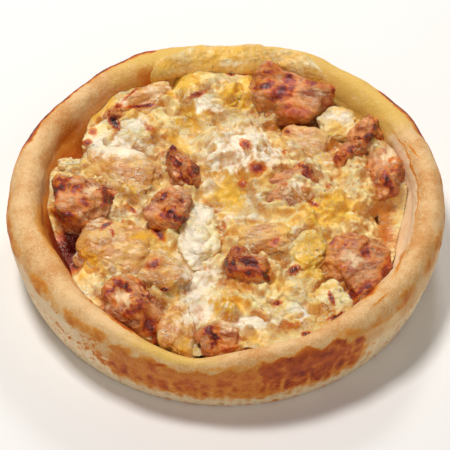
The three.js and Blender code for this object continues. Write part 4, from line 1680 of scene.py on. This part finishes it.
LUMPS = (
    Lump("meat_left", CHUNK, (-38.4, -1.2, 15.6), (20.5, 17, 14.5), -6, (12, 4), {
        "left tip": Spot(57, 189, 6, 0.95, 1.5, 60),
        "left tip, back": Spot(64, 180, 2.4, 0.85, 3.0, 12),
        "top": Spot(76, 190, 4, 0.65, 1.6, 30),
        "middle": Spot(84, 203, 5, 0.46, 1.8, -10),
        "right tip": Spot(105, 189, 5, 1.15, 1.3, 75),
        "right tip, front": Spot(108, 200, 6, 0.9),
        # painted shade under the piece
        "foot": Spot(62, 216, 6, 0.6, 2.2, -15),
    }, peaks=(Peak(-44.6, 0.5, 1.8, 3), Peak(-32.6, -1.2, 3, 2.8))),
    Lump("meat_back", CHUNK, (17.6, 38, 16.3), (28, 16.5, 16), -14, (16, 4), {
        "left": Spot(264, 84, 5, 0.7, 1.8, 25),
        "crest": Spot(289, 77, 4.5, 0.85, 1.4, -40),
        "core": Spot(283, 92, 9, 0.62, 1.6, 30),
        # painted shade on the lower face, under its overhang
        "face": Spot(290, 112, 10, 0.32, 3.4, -5),
        "right": Spot(312, 84, 5, 0.45, 2.2, -10),
        "right end": Spot(333, 90, 3, 0.5, 3.0, -60),
    }, peaks=(Peak(11.5, 43, 1.4, 3), Peak(20, 43.5, 1.2, 4))),
    Lump("meat_right_front", CHUNK, (34.8, -22.8, 14.8), (20.5, 18, 14), 40, (8, 0), {
        "left tip": Spot(329, 240, 5, 0.85, 1.7, -25),
        "left tip, right": Spot(346, 245, 2.4, 0.6, 2.0),
        "round spot": Spot(341, 267, 3.6, 0.8, 1.3, 60),
        "right streak": Spot(368, 252, 4.5, 0.66, 2.4, -55),
        "back edge": Spot(376, 235, 1.8, 0.55, 4.0, -20),
        "right side": Spot(386, 268, 8, 0.42, 2.4, 62),
        # painted shade under the piece
        "foot": Spot(362, 290, 5, 0.85, 3.2, 35),
    }, peaks=(Peak(28.3, -17.2, 2.2, 3), Peak(37, -17.8, 1.2, 3))),
    Lump("meat_right", CHUNK, (43, 9, 15.4), (21, 12.5, 13), 82, (0, 6), {
        "crest": Spot(388, 183, 5, 0.74, 2.6, -68),
        "side": Spot(400, 172, 4, 0.56, 2.6, -75),
        "front": Spot(396, 200, 6, 0.46, 1.8, 80),
        "edge": Spot(402, 158, 2, 0.4, 5.0, -55),
    }, peaks=(Peak(45.5, 4.5, 1.8, 3), Peak(40.5, 14, 1, 3))),
    Lump("meat_front_left", CHUNK, (-24, -38.2, 14.2), (20.5, 15.5, 14.5), -46, (0, 6), {
        "left streak": Spot(113, 290, 3.2, 0.6, 3.0, 45),
        "crest, left": Spot(124, 288, 3.4, 0.85, 2.0, -18),
        "crest, right": Spot(141, 285, 3, 0.75, 2.4, -30),
        "right tip": Spot(149, 297, 3.6, 0.85, 1.4),
        "top": Spot(142, 304, 4, 0.78, 1.8, 5),
        "front": Spot(134, 312, 4.5, 0.64, 1.8, 45),
        "side": Spot(150, 325, 9, 0.56, 1.8, -62),
        # painted shade under the piece
        "foot": Spot(157, 350, 4, 0.95, 2.6, -70),
    }, peaks=(Peak(-27.5, -34.8, 2, 3), Peak(-21.2, -41, 2, 3))),
    Lump("meat_middle", CHUNK, (6, -24.6, 15.2), (14, 10.5, 10.5), -32, (10, 0), {
        "left tip": Spot(231, 266, 5, 1.0, 2.2, -80),
        "crest": Spot(250, 262, 4, 1.05, 3.4, -28),
        "right tip": Spot(264, 274, 4, 0.95, 2.0, -45),
        "face": Spot(247, 271, 6, 0.62, 1.6),
        "front": Spot(257, 286, 4, 0.5),
    }, peaks=(Peak(3, -23.2, 2.4, 2.8), Peak(9, -28, 1.6, 2.8))),
    Lump("meat_left_middle", CHUNK, (-15.2, -5.2, 15.5), (13, 13, 12.5), -38, (8, 0), {
        "back tip": Spot(162, 195, 2.6, 0.9, 2.0, -35),
        "back edge": Spot(178, 200, 1.6, 0.7, 3.4, -30),
        "front": Spot(170, 214, 5, 0.62, 2.4, 10),
        "right end": Spot(182, 218, 5, 0.9, 1.3),
    }, peaks=(Peak(-17.4, -3.4, 1.8, 2.6), Peak(-13.6, -8.8, 1.5, 2.6))),
    Lump("meat_tips", CHUNK, (-12.1, 8.8, 17), (15, 8.5, 12.5), -62, (0, 14), {
        "left tip": Spot(170, 157, 4, 0.95, 1.6, -30),
        "left tip, charred": Spot(177, 162, 3.4, 1.15, 1.3, -60),
        "left side": Spot(184, 178, 3, 0.9, 4.2, -75),
        "front": Spot(188, 192, 3, 0.75, 1.6, 60),
        "right tip": Spot(193, 172, 4.5, 0.8, 1.4, 40),
        "right edge": Spot(199, 168, 1.4, 0.95, 5.0, -60),
    }, peaks=(Peak(-14.8, 11.6, 3, 2.4), Peak(-9.4, 7.2, 2.2, 2.4))),
    Lump("meat_front", CHUNK, (-1.2, -47.2, 13), (13.6, 10, 10.5), -14, (14, 0), {
        "crest": Spot(210, 332, 3, 0.8, 3.2, -10),
        "middle": Spot(216, 338, 4, 0.75, 1.6, -20),
        "lower": Spot(212, 345, 3, 0.62, 1.8, 50),
        "body": Spot(228, 350, 9, 0.3, 1.6),
    }, peaks=(Peak(-4.4, -46.6, 1.6, 2.8),)),
    Lump("meat_upper_right", CHUNK, (39.4, 24, 17.8), (11, 8.5, 10), 32, (0, 0), {
        "tip": Spot(378, 125, 4.2, 0.95, 1.4, 40),
        "front": Spot(372, 137, 4.4, 1.0, 1.6, -10),
        "left": Spot(359, 138, 3, 0.9, 1.8, 15),
    }, peaks=(Peak(41.3, 23.8, 1.8, 2.8),)),
    Lump("meat_ridge", CHUNK, (33.8, 15, 16.8), (13, 8, 9.5), 38, (0, 0), {
        "left": Spot(340, 158, 4.2, 0.85, 1.5, 15),
        "crest": Spot(349, 149, 2.4, 0.7, 3.0, 42),
        "right": Spot(365, 158, 3, 0.62, 2.4, -50),
    }, peaks=(Peak(31.2, 13.4, 1.8, 2.6), Peak(36.2, 16, 1.2, 2.6))),
    Lump("meat_pale", CHUNK, (17.8, 4, 15.2), (19, 16.5, 12.5), 28, (10, 0), {
        "crest": Spot(303, 167, 2.2, 0.9, 3.4, -30),
        "face": Spot(308, 176, 4.5, 0.62, 1.8, -55),
        "right": Spot(318, 172, 1.6, 0.85, 2.0, -30),
    }, sharpness=6, roast=0.1, peaks=(Peak(22, 8.6, 1.6, 2.8),)),
    Lump("meat_curl", CHUNK, (-31.7, 29.6, 17.2), (9.5, 6.5, 8.5), 70, (0, 0), {},
         peaks=(Peak(-31.7, 28.8, 1.6, 2.6),)),
    Lump("slice_round", SLICE, (-30, -17.6, 14.5), (20, 18.5, 9.5), -20, (12, -5)),
    Lump("slice_left", SLICE, (-28.4, 9.4, 16.6), (24, 15.5, 6.5), -22, (14, 0)),
    Lump("slice_back_left", SLICE, (-23.2, 38, 16.8), (17, 10, 8), 18, (34, 0)),
    Lump("slice_back_right", SLICE, (22.4, 21.6, 16.4), (16, 11.5, 5), -28, (10, 6)),
    Lump("slice_middle", SLICE, (11, -14.2, 15.3), (16, 11, 5.6), 6, (6, 0)),
    Lump("slice_wedge", SLICE, (-11.7, -42.4, 13.4), (19, 9.6, 8.5), 84, (-8, 8)),
    Lump("slice_small", SLICE, (-16.4, -25.8, 14.7), (14, 12.5, 9), -24, (8, 0)),
    Lump("cheese_mound", CHEESE, (6.6, 16.4, 15.6), (24, 19.5, 9), -42, (6, 0), torn=0.35),
    Lump("cheese_lump", CHEESE, (-6.9, -12.8, 14.6), (15, 23, 9.5), 12, (0, 0), torn=0.6),
    Lump("cheese_creamy", CHEESE, (-29, 23.8, 16.4), (24.5, 16, 8), 22, (8, 0), torn=0.6),
    Lump("cheese_back", CHEESE, (-6.5, 37.5, 16.8), (22, 15, 8), -8, (6, 0)),
    Lump("cheese_flap", CHEESE, (32, 28.4, 17), (13, 11.5, 6), 20, (6, 0)),
    Lump("cheese_sheet", CHEESE, (31, -3.4, 15.9), (23, 16, 6), 12, (4, 4), bend=0.6),
    Lump("cheese_yellow", CHEESE, (21.2, -19.4, 15), (12, 14, 8), 10, (4, 0)),
    Lump("cheese_front", CHEESE, (12, -38.4, 14), (24, 14, 7.5), 6, (6, 0)),
    Lump("cheese_corner", CHEESE, (27, -35, 14.4), (11, 11.5, 8), 20, (6, 0)),
    Lump("cheese_crumb", CHEESE, (-42.2, 13.2, 15.6), (9.5, 6, 6), -10, (0, 0)),
)


# ---------------------------------------------------------------------------------------------
# Filling
# ---------------------------------------------------------------------------------------------


@dataclass(frozen=True)
class Swell:
    """A mound (rise above 0) or hollow (below 0) of the filling."""

    at: tuple[float, float]
    reach: tuple[float, float]
    turn: float
    rise: float

    def height(self, x: np.ndarray, y: np.ndarray) -> np.ndarray:
        """Its height at each place."""
        along, across = turned(x - self.at[0], y - self.at[1], self.turn)
        return self.rise * np.exp(-((along / self.reach[0]) ** 2 + (across / self.reach[1]) ** 2))


SWELLS = (
    Swell((7, 15), (13, 11), -40, 2.2),
    Swell((-30, 24), (13, 9), 20, 2.4),
    Swell((-8, 42), (18, 8), 0, 4),
    Swell((32, -3), (12, 10), 0, 2.2),
    Swell((18, 2), (11, 9), 30, 1.6),
    Swell((10, -38), (22, 8), 5, 1.8),
    Swell((-34, 8), (12, 7), -15, 1.6),
    Swell((-29, -20), (10, 9), 0, 1.6),
    Swell((40, 14), (8, 16), 0, 2.2),
    Swell((-42, -14), (7, 10), -25, -7),
    Swell((-44, 23), (6, 9.5), 25, -8),
    Swell((-20, 46.5), (9, 5.5), -20, -8),
    Swell((25, 28), (12, 4), -12, -6),
    Swell((44, -8), (5, 8), 10, -5.5),
    Swell((38, -33), (9, 3.5), 42, -4.5),
    Swell((-3, -22), (9, 12), 20, -1.2),
    Swell((-16.5, -44), (2.5, 7), 10, -3.5),
    Swell((-22, 16), (5, 4), 0, -1.6),
    Swell((8, -6.5), (7, 4), -20, -1.2),
)


@dataclass
class Filling:
    """Set cream and melted cheese that fills the case round the pieces."""

    finish: BakedFinish
    case: DoughCase
    level: float = 15.0
    slope: float = 0.03  # how much higher it lies for each millimetre towards the back
    wall_climb: float = 18.0  # it meets the wall no higher than this, except at the back
    back_climb: Lobe = Lobe(2.6, 104, 26)
    small_relief: float = 1.1
    across: int = 300  # grid squares from side to side
    skirt_width: float = 2.2
    skirt_margin: float = 4.0  # beyond which a skirt has died away
    drag: float = 1.6  # how far its flakes are dragged sideways
    flake_size: Triple = (8.0, 6.0, 6.0)
    flake_height: float = 1.4
    bit_size: Triple = (3.4, 2.6, 3.0)
    bit_height: float = 0.5
    string_size: Triple = (9.0, 3.5, 9.0)
    string_height: float = 0.4
    fold_height: float = 0.8
    grain_height: float = 0.2

    def height(self, x: np.ndarray, y: np.ndarray) -> np.ndarray:
        """Height of the surface before its fine relief."""
        lumps = self.small_relief * ripple(x / 5 + 3.7, y / 5 + 8.1, 0.5)
        return self.level + self.slope * y + sum(swell.height(x, y) for swell in SWELLS) + lumps

    def edge(self, theta: np.ndarray) -> np.ndarray:
        """Where the surface meets the inner wall.

        Args:
            theta: directions round the tart, in radians.

        Returns:
            One row for each direction.
        """
        case, near_wall = self.case, self.case.inner_foot_radius + 3
        level = self.height(near_wall * np.cos(theta), near_wall * np.sin(theta))
        level = level - case.crest_shift(theta) / 2
        top = np.clip(level, case.inner_foot_height + 1, self.wall_climb)
        top = top + self.back_climb.at(theta)
        return case.dough(theta, case.inner_wall(top) - GAP * 0.25, top, np.ones_like(theta))

    def box(self) -> Surface:
        """A flat box with a finely divided top.

        Returns:
            The box, 2 wide and 1 high.
        """
        shape = bmesh.new()
        bmesh.ops.create_grid(shape, x_segments=self.across, y_segments=self.across, size=1.0)
        border = [edge for edge in shape.edges if edge.is_boundary]
        walls = bmesh.ops.extrude_edge_only(shape, edges=border)["geom"]
        lower = [item for item in walls if isinstance(item, bmesh.types.BMVert)]
        bmesh.ops.translate(shape, verts=lower, vec=(0.0, 0.0, -1.0))
        foot = [edge for edge in shape.edges if edge.is_boundary]
        bmesh.ops.contextual_create(shape, geom=foot)
        bmesh.ops.recalc_face_normals(shape, faces=shape.faces)
        return Surface("filling_cream", shape)

    def build(self) -> bpy.types.Object:
        """Shapes the surface, and closes it down to the floor of the case.

        Returns:
            The finished filling.
        """
        surface, case = self.box(), self.case
        square = surface.points()
        u, v = square[:, 0], square[:, 1]
        x, y = u * np.sqrt(1 - v**2 / 2), v * np.sqrt(1 - u**2 / 2)  # the square as a disc
        theta, out = np.arctan2(y, x), np.hypot(x, y)
        edge, near = self.edge(theta), smoothstep(out, 0.9, 1.0)
        x, y = edge[:, 0] * out, edge[:, 1] * out
        plain = lerp(self.height(x, y), edge[:, 2], near)
        places = np.stack([x, y, plain], -1)
        detail = self.relief(places)
        climb, juice_and_shade = self.skirts(places)
        places[:, 2] += (detail + climb) * (1 - 0.6 * near)
        foot = case.dough(theta, case.floor_radius - GAP, case.floor_thickness + GAP, 1.0)
        bottom = square[:, 2] < -0.5
        places[bottom] = foot[bottom]
        surface.place(places)
        self.colour(surface, detail, plain, juice_and_shade)
        return surface.finish(self.finish.material(), self.finish.slot, ["filling"])

    def relief(self, places: np.ndarray) -> np.ndarray:
        """Torn flakes, curds and strings of melted cheese.

        Args:
            places: places on the surface, one row each.

        Returns:
            How far the cheese stands above each.
        """
        sideways = [crumb(places, 5.0, 2, 1.3), crumb(places, 5.0, 2, 8.3), np.zeros(len(places))]
        flat = (places + self.drag * np.stack(sideways, -1)) * np.array([1.0, 1.0, 0.2])
        large, large_edge = flakes(flat, self.flake_size, 3.1)
        small, small_edge = flakes(flat, self.bit_size, 6.3)
        torn = large * smoothstep(large_edge, 0.0, 0.2) - 0.2 * smoothstep(large_edge, 0.12, 0.0)
        bits = small * smoothstep(small_edge, 0.0, 0.3)
        folds = self.fold_height * crumb(flat, 6.0, 3, 1.7)
        grain = self.grain_height * crumb(flat, 1.2, 3, 2.9)
        strings = self.string_height * crags(flat, self.string_size, 2, 4.9)
        return self.flake_height * torn + self.bit_height * bits + folds + strings + grain

    def skirts(self, places: np.ndarray) -> tuple[np.ndarray, np.ndarray]:
        """The skirts with which the filling climbs the sides of the pieces.

        Args:
            places: places on the surface, one row each.

        Returns:
            How far it climbs, and how much juice and painted shade lies there.
        """
        climb, juice_and_shade = np.zeros(len(places)), np.zeros(len(places))
        uneven = np.clip(1 + 1.1 * crumb(places, 4.0, 2, 6.2), 0.3, 1.9)
        for number, lump in enumerate(LUMPS, 1):
            kind = lump.kind
            distance = np.hypot(places[:, 0] - lump.at[0], places[:, 1] - lump.at[1])
            near = distance < max(lump.size) + self.skirt_margin
            away = np.maximum(lump.outside(places[near], number), 0) / self.skirt_width
            high = kind.skirt * uneven[near] * np.exp(-((away / (0.6 + 0.5 * kind.skirt)) ** 2))
            climb[near] = np.maximum(climb[near], high)
            juice_and_shade[near] = np.maximum(juice_and_shade[near], kind.glaze_and_shade * np.exp(-(away**2)))
        return climb, juice_and_shade

    def colour(
        self, surface: Surface, detail: np.ndarray, plain: np.ndarray, juice_and_shade: np.ndarray
    ) -> None:
        """Paints shade deep down, in hollows and on slopes, juice with shade beside the pieces,
        light on the crests, and the shared colours.

        Args:
            surface: the filling's surface.
            detail: how far its relief stands up.
            plain: its height without the relief.
            juice_and_shade: how much juice and painted shade lies beside the pieces.
        """
        points = surface.points()
        deep = smoothstep(plain, 14.0, 9.5)
        hollow, crest = smoothstep(-detail, 0.3, 1.2), smoothstep(detail, 0.2, 1.1)
        steep = smoothstep(surface.normals()[:, 2], 0.9, 0.45)
        front_left = (points[:, 0] < 0) & (points[:, 1] < 0)
        juice_and_shade = 0.55 * juice_and_shade * (0.7 + crumb(points, 4.0, 2, 5.5))
        layers = {
            # painted shade: brown deep down in the gaps, strongest at the front left
            Layer.BROWN: deep * np.where(front_left, 0.72, 0.3),
            # painted shade in gold deep down, in hollows and on slopes, with the juice beside the
            # pieces
            Layer.GOLD: 0.9 * deep + 0.62 * hollow + 0.36 * steep + juice_and_shade,
            Layer.YELLOW: 0.1,
            Layer.CREAM: 0.6 * crest,
        # painted light: paler cream on the crests
        }
        Paintbox(points).paint_top(surface, layers, 0.75, 1 - 0.6 * steep)


@dataclass
class RunOver:
    """Cheese that has run over the back of the rim, as a thin uneven skin."""

    finish: BakedFinish
    case: DoughCase
    start: float = 54.0  # directions of its ends, in degrees
    stop: float = 116.0
    low: float = 0.98  # share of the way over the rim from its shoulder, inside
    high: float = 0.38  # and outside
    segments: tuple[int, int] = (220, 60)  # grid squares along and across it
    thickness: float = 1.0
    tuck: float = 0.2  # how deep its underside lies in the dough
    ragged: float = 0.12  # unevenness of its outer edge
    drawn_back: float = 0.45  # how far that edge draws back at the ends
    curd_size: float = 3.4
    curd_height: float = 0.45

    def build(self) -> bpy.types.Object:
        """Lays a flat sheet over the rim.

        Returns:
            The finished skin.
        """
        shape, (along, across) = bmesh.new(), self.segments
        bmesh.ops.create_grid(shape, x_segments=along, y_segments=across, size=0.5)
        bmesh.ops.solidify(shape, geom=shape.faces, thickness=0.1)
        bmesh.ops.recalc_face_normals(shape, faces=shape.faces)
        surface = Surface("run_over_cheese", shape)
        x, y, z = surface.points().T
        top = z > (z.max() + z.min()) / 2
        theta = np.radians(lerp(self.start, self.stop, x + 0.5))
        ragged = self.ragged * ripple(9 * (x + 0.5), 0.5, 2.5)
        limit = self.high + ragged + self.drawn_back * np.abs(2 * x) ** 3
        angle = math.pi * lerp(self.low, np.minimum(limit, self.low - 0.1), 0.5 - y)
        thinning = (1 - (2 * x) ** 4) * (1 - (2 * y) ** 6)
        thick = self.thickness * thinning * (1 + 0.3 * ripple(9 * x, 3 * y, 0.5))
        radius, height, side = self.case.rim(angle, np.where(top, 0.15 + thick, -self.tuck))
        surface.place(self.case.dough(theta, radius, height, side))
        points = surface.points()
        curds = crags(points, self.curd_size, 4, 2.2)
        rough = (self.curd_height * curds + 0.3 * crumb(points, 4.0, 3, 4.4)) * thinning
        surface.raise_by(np.where(top, rough, 0.0))
        self.colour(surface, points, curds)
        return surface.finish(self.finish.material(), self.finish.slot, ["cheese_run_over"])

    @staticmethod
    def colour(surface: Surface, points: np.ndarray, curds: np.ndarray) -> None:
        """Paints it darker and more golden between the curds, and creamy where it is crumbly.

        Args:
            surface: its surface.
            points: its points without the curds.
            curds: how far the curds stand up.
        """
        crumbly = Paintbox(points).share(CRUMBLY_CHEESE, 1.0)
        surface.paint(Layer.BROWN, 0.2 * smoothstep(-curds, 0.3, 0.8))
        surface.paint(Layer.GOLD, 0.3 * smoothstep(-curds, 0.2, 0.8))
        surface.paint(Layer.YELLOW, 0.35 + 0.6 * crumb(points, 7.0, 3, 1.0))
        surface.paint(Layer.CREAM, 0.1 + 0.5 * crumb(points, 5.0, 3, 7.0) + crumbly)


# ---------------------------------------------------------------------------------------------
# Studio
# ---------------------------------------------------------------------------------------------


@dataclass(frozen=True)
class Softbox:
    """A square lamp that looks at the tart."""

    name: str
    place: Triple  # in metres
    size: float  # in metres
    power: float
    colour: Triple

    aim = (0.0, 0.0, 0.01)  # what it looks at, in metres

    def build(self) -> None:
        """Hangs the lamp."""
        light = bpy.data.lights.new(self.name, "AREA")
        light.shape = "SQUARE"
        light.size = self.size
        light.energy = self.power
        light.color = self.colour
        lamp = bpy.data.objects.new(self.name, light)
        lamp.location = self.place
        towards = Vector(self.aim) - lamp.location
        lamp.rotation_euler = towards.to_track_quat("-Z", "Y").to_euler()
        bpy.context.scene.collection.objects.link(lamp)


@dataclass
class Studio:
    """A pale floor, soft lamps, and the camera at the photograph's angle."""

    view: PhotoView = VIEW
    sensor: float = 36.0  # its width, in millimetres
    nearest: float = 0.01  # nothing closer to the camera is shown, in metres
    floor_half: float = 3.0  # half the floor's width, in metres
    room: Colour = (1.0, 0.95, 0.87, 1.0)
    room_light: float = 0.18
    lamps: tuple[Softbox, ...] = (
        Softbox("key_softbox", (-0.16, 0.14, 0.68), 0.14, 3.35, (1.0, 0.965, 0.92)),
        Softbox("front_softbox", (0.12, -0.6, 0.5), 0.45, 0.9, (1.0, 0.97, 0.93)),
        Softbox("back_lamp", (0.1, 0.52, 0.46), 0.12, 1.2, (1.0, 0.99, 0.97)),
    )

    def build(self) -> None:
        """Sets the floor, the light and the camera."""
        self.floor()
        for lamp in self.lamps:
            lamp.build()
        world = bpy.data.worlds.new("pale_room")
        world.use_nodes = True
        back = world.node_tree.nodes["Background"]
        back.inputs["Color"].default_value = self.room
        back.inputs["Strength"].default_value = self.room_light
        bpy.context.scene.world = world
        self.camera()
        bpy.context.scene.view_settings.view_transform = "Standard"

    def floor(self) -> None:
        """Lays the floor."""
        shape = bmesh.new()
        bmesh.ops.create_grid(shape, x_segments=1, y_segments=1, size=self.floor_half)
        mesh = bpy.data.meshes.new("floor")
        shape.to_mesh(mesh)
        shape.free()
        sheet = NodeSheet("pale_floor")
        tone = sheet.mix(sheet.noise(400.0, 2.0), srgb(246, 246, 246), srgb(250, 250, 250))
        normal = sheet.bump(sheet.noise(6.0, 2.0), 0.01)
        mesh.materials.append(sheet.shader(tone, 0.8, normal))
        floor = bpy.data.objects.new("floor", mesh)
        bpy.context.scene.collection.objects.link(floor)

    def camera(self) -> None:
        """Puts the camera in front of the tart, looking down."""
        lens = bpy.data.cameras.new("photo_camera")
        lens.sensor_width = self.sensor
        lens.lens = self.view.focal * self.sensor / self.view.frame
        lens.clip_start = self.nearest
        camera = bpy.data.objects.new("photo_camera", lens)
        turn = Matrix(self.view.axes()).transposed().to_4x4()
        camera.matrix_world = Matrix.Translation(self.view.eye() * METRES) @ turn
        bpy.context.scene.collection.objects.link(camera)
        bpy.context.scene.camera = camera


def main() -> None:
    """Builds the tart's pieces in order, then the studio."""
    logging.basicConfig(level=logging.INFO, format="%(name)s %(message)s")
    case = DoughCase(DoughFinish())
    case.build()
    Filling(FILLING_FINISH, case).build()
    RunOver(RUN_OVER_FINISH, case).build()
    materials = {kind.finish.name: kind.finish.material() for kind in (CHUNK, SLICE, CHEESE)}
    for number, lump in enumerate(LUMPS, 1):
        lump.build(number, materials[lump.kind.finish.name])
    Studio().build()


if __name__ == "__main__":
    main()
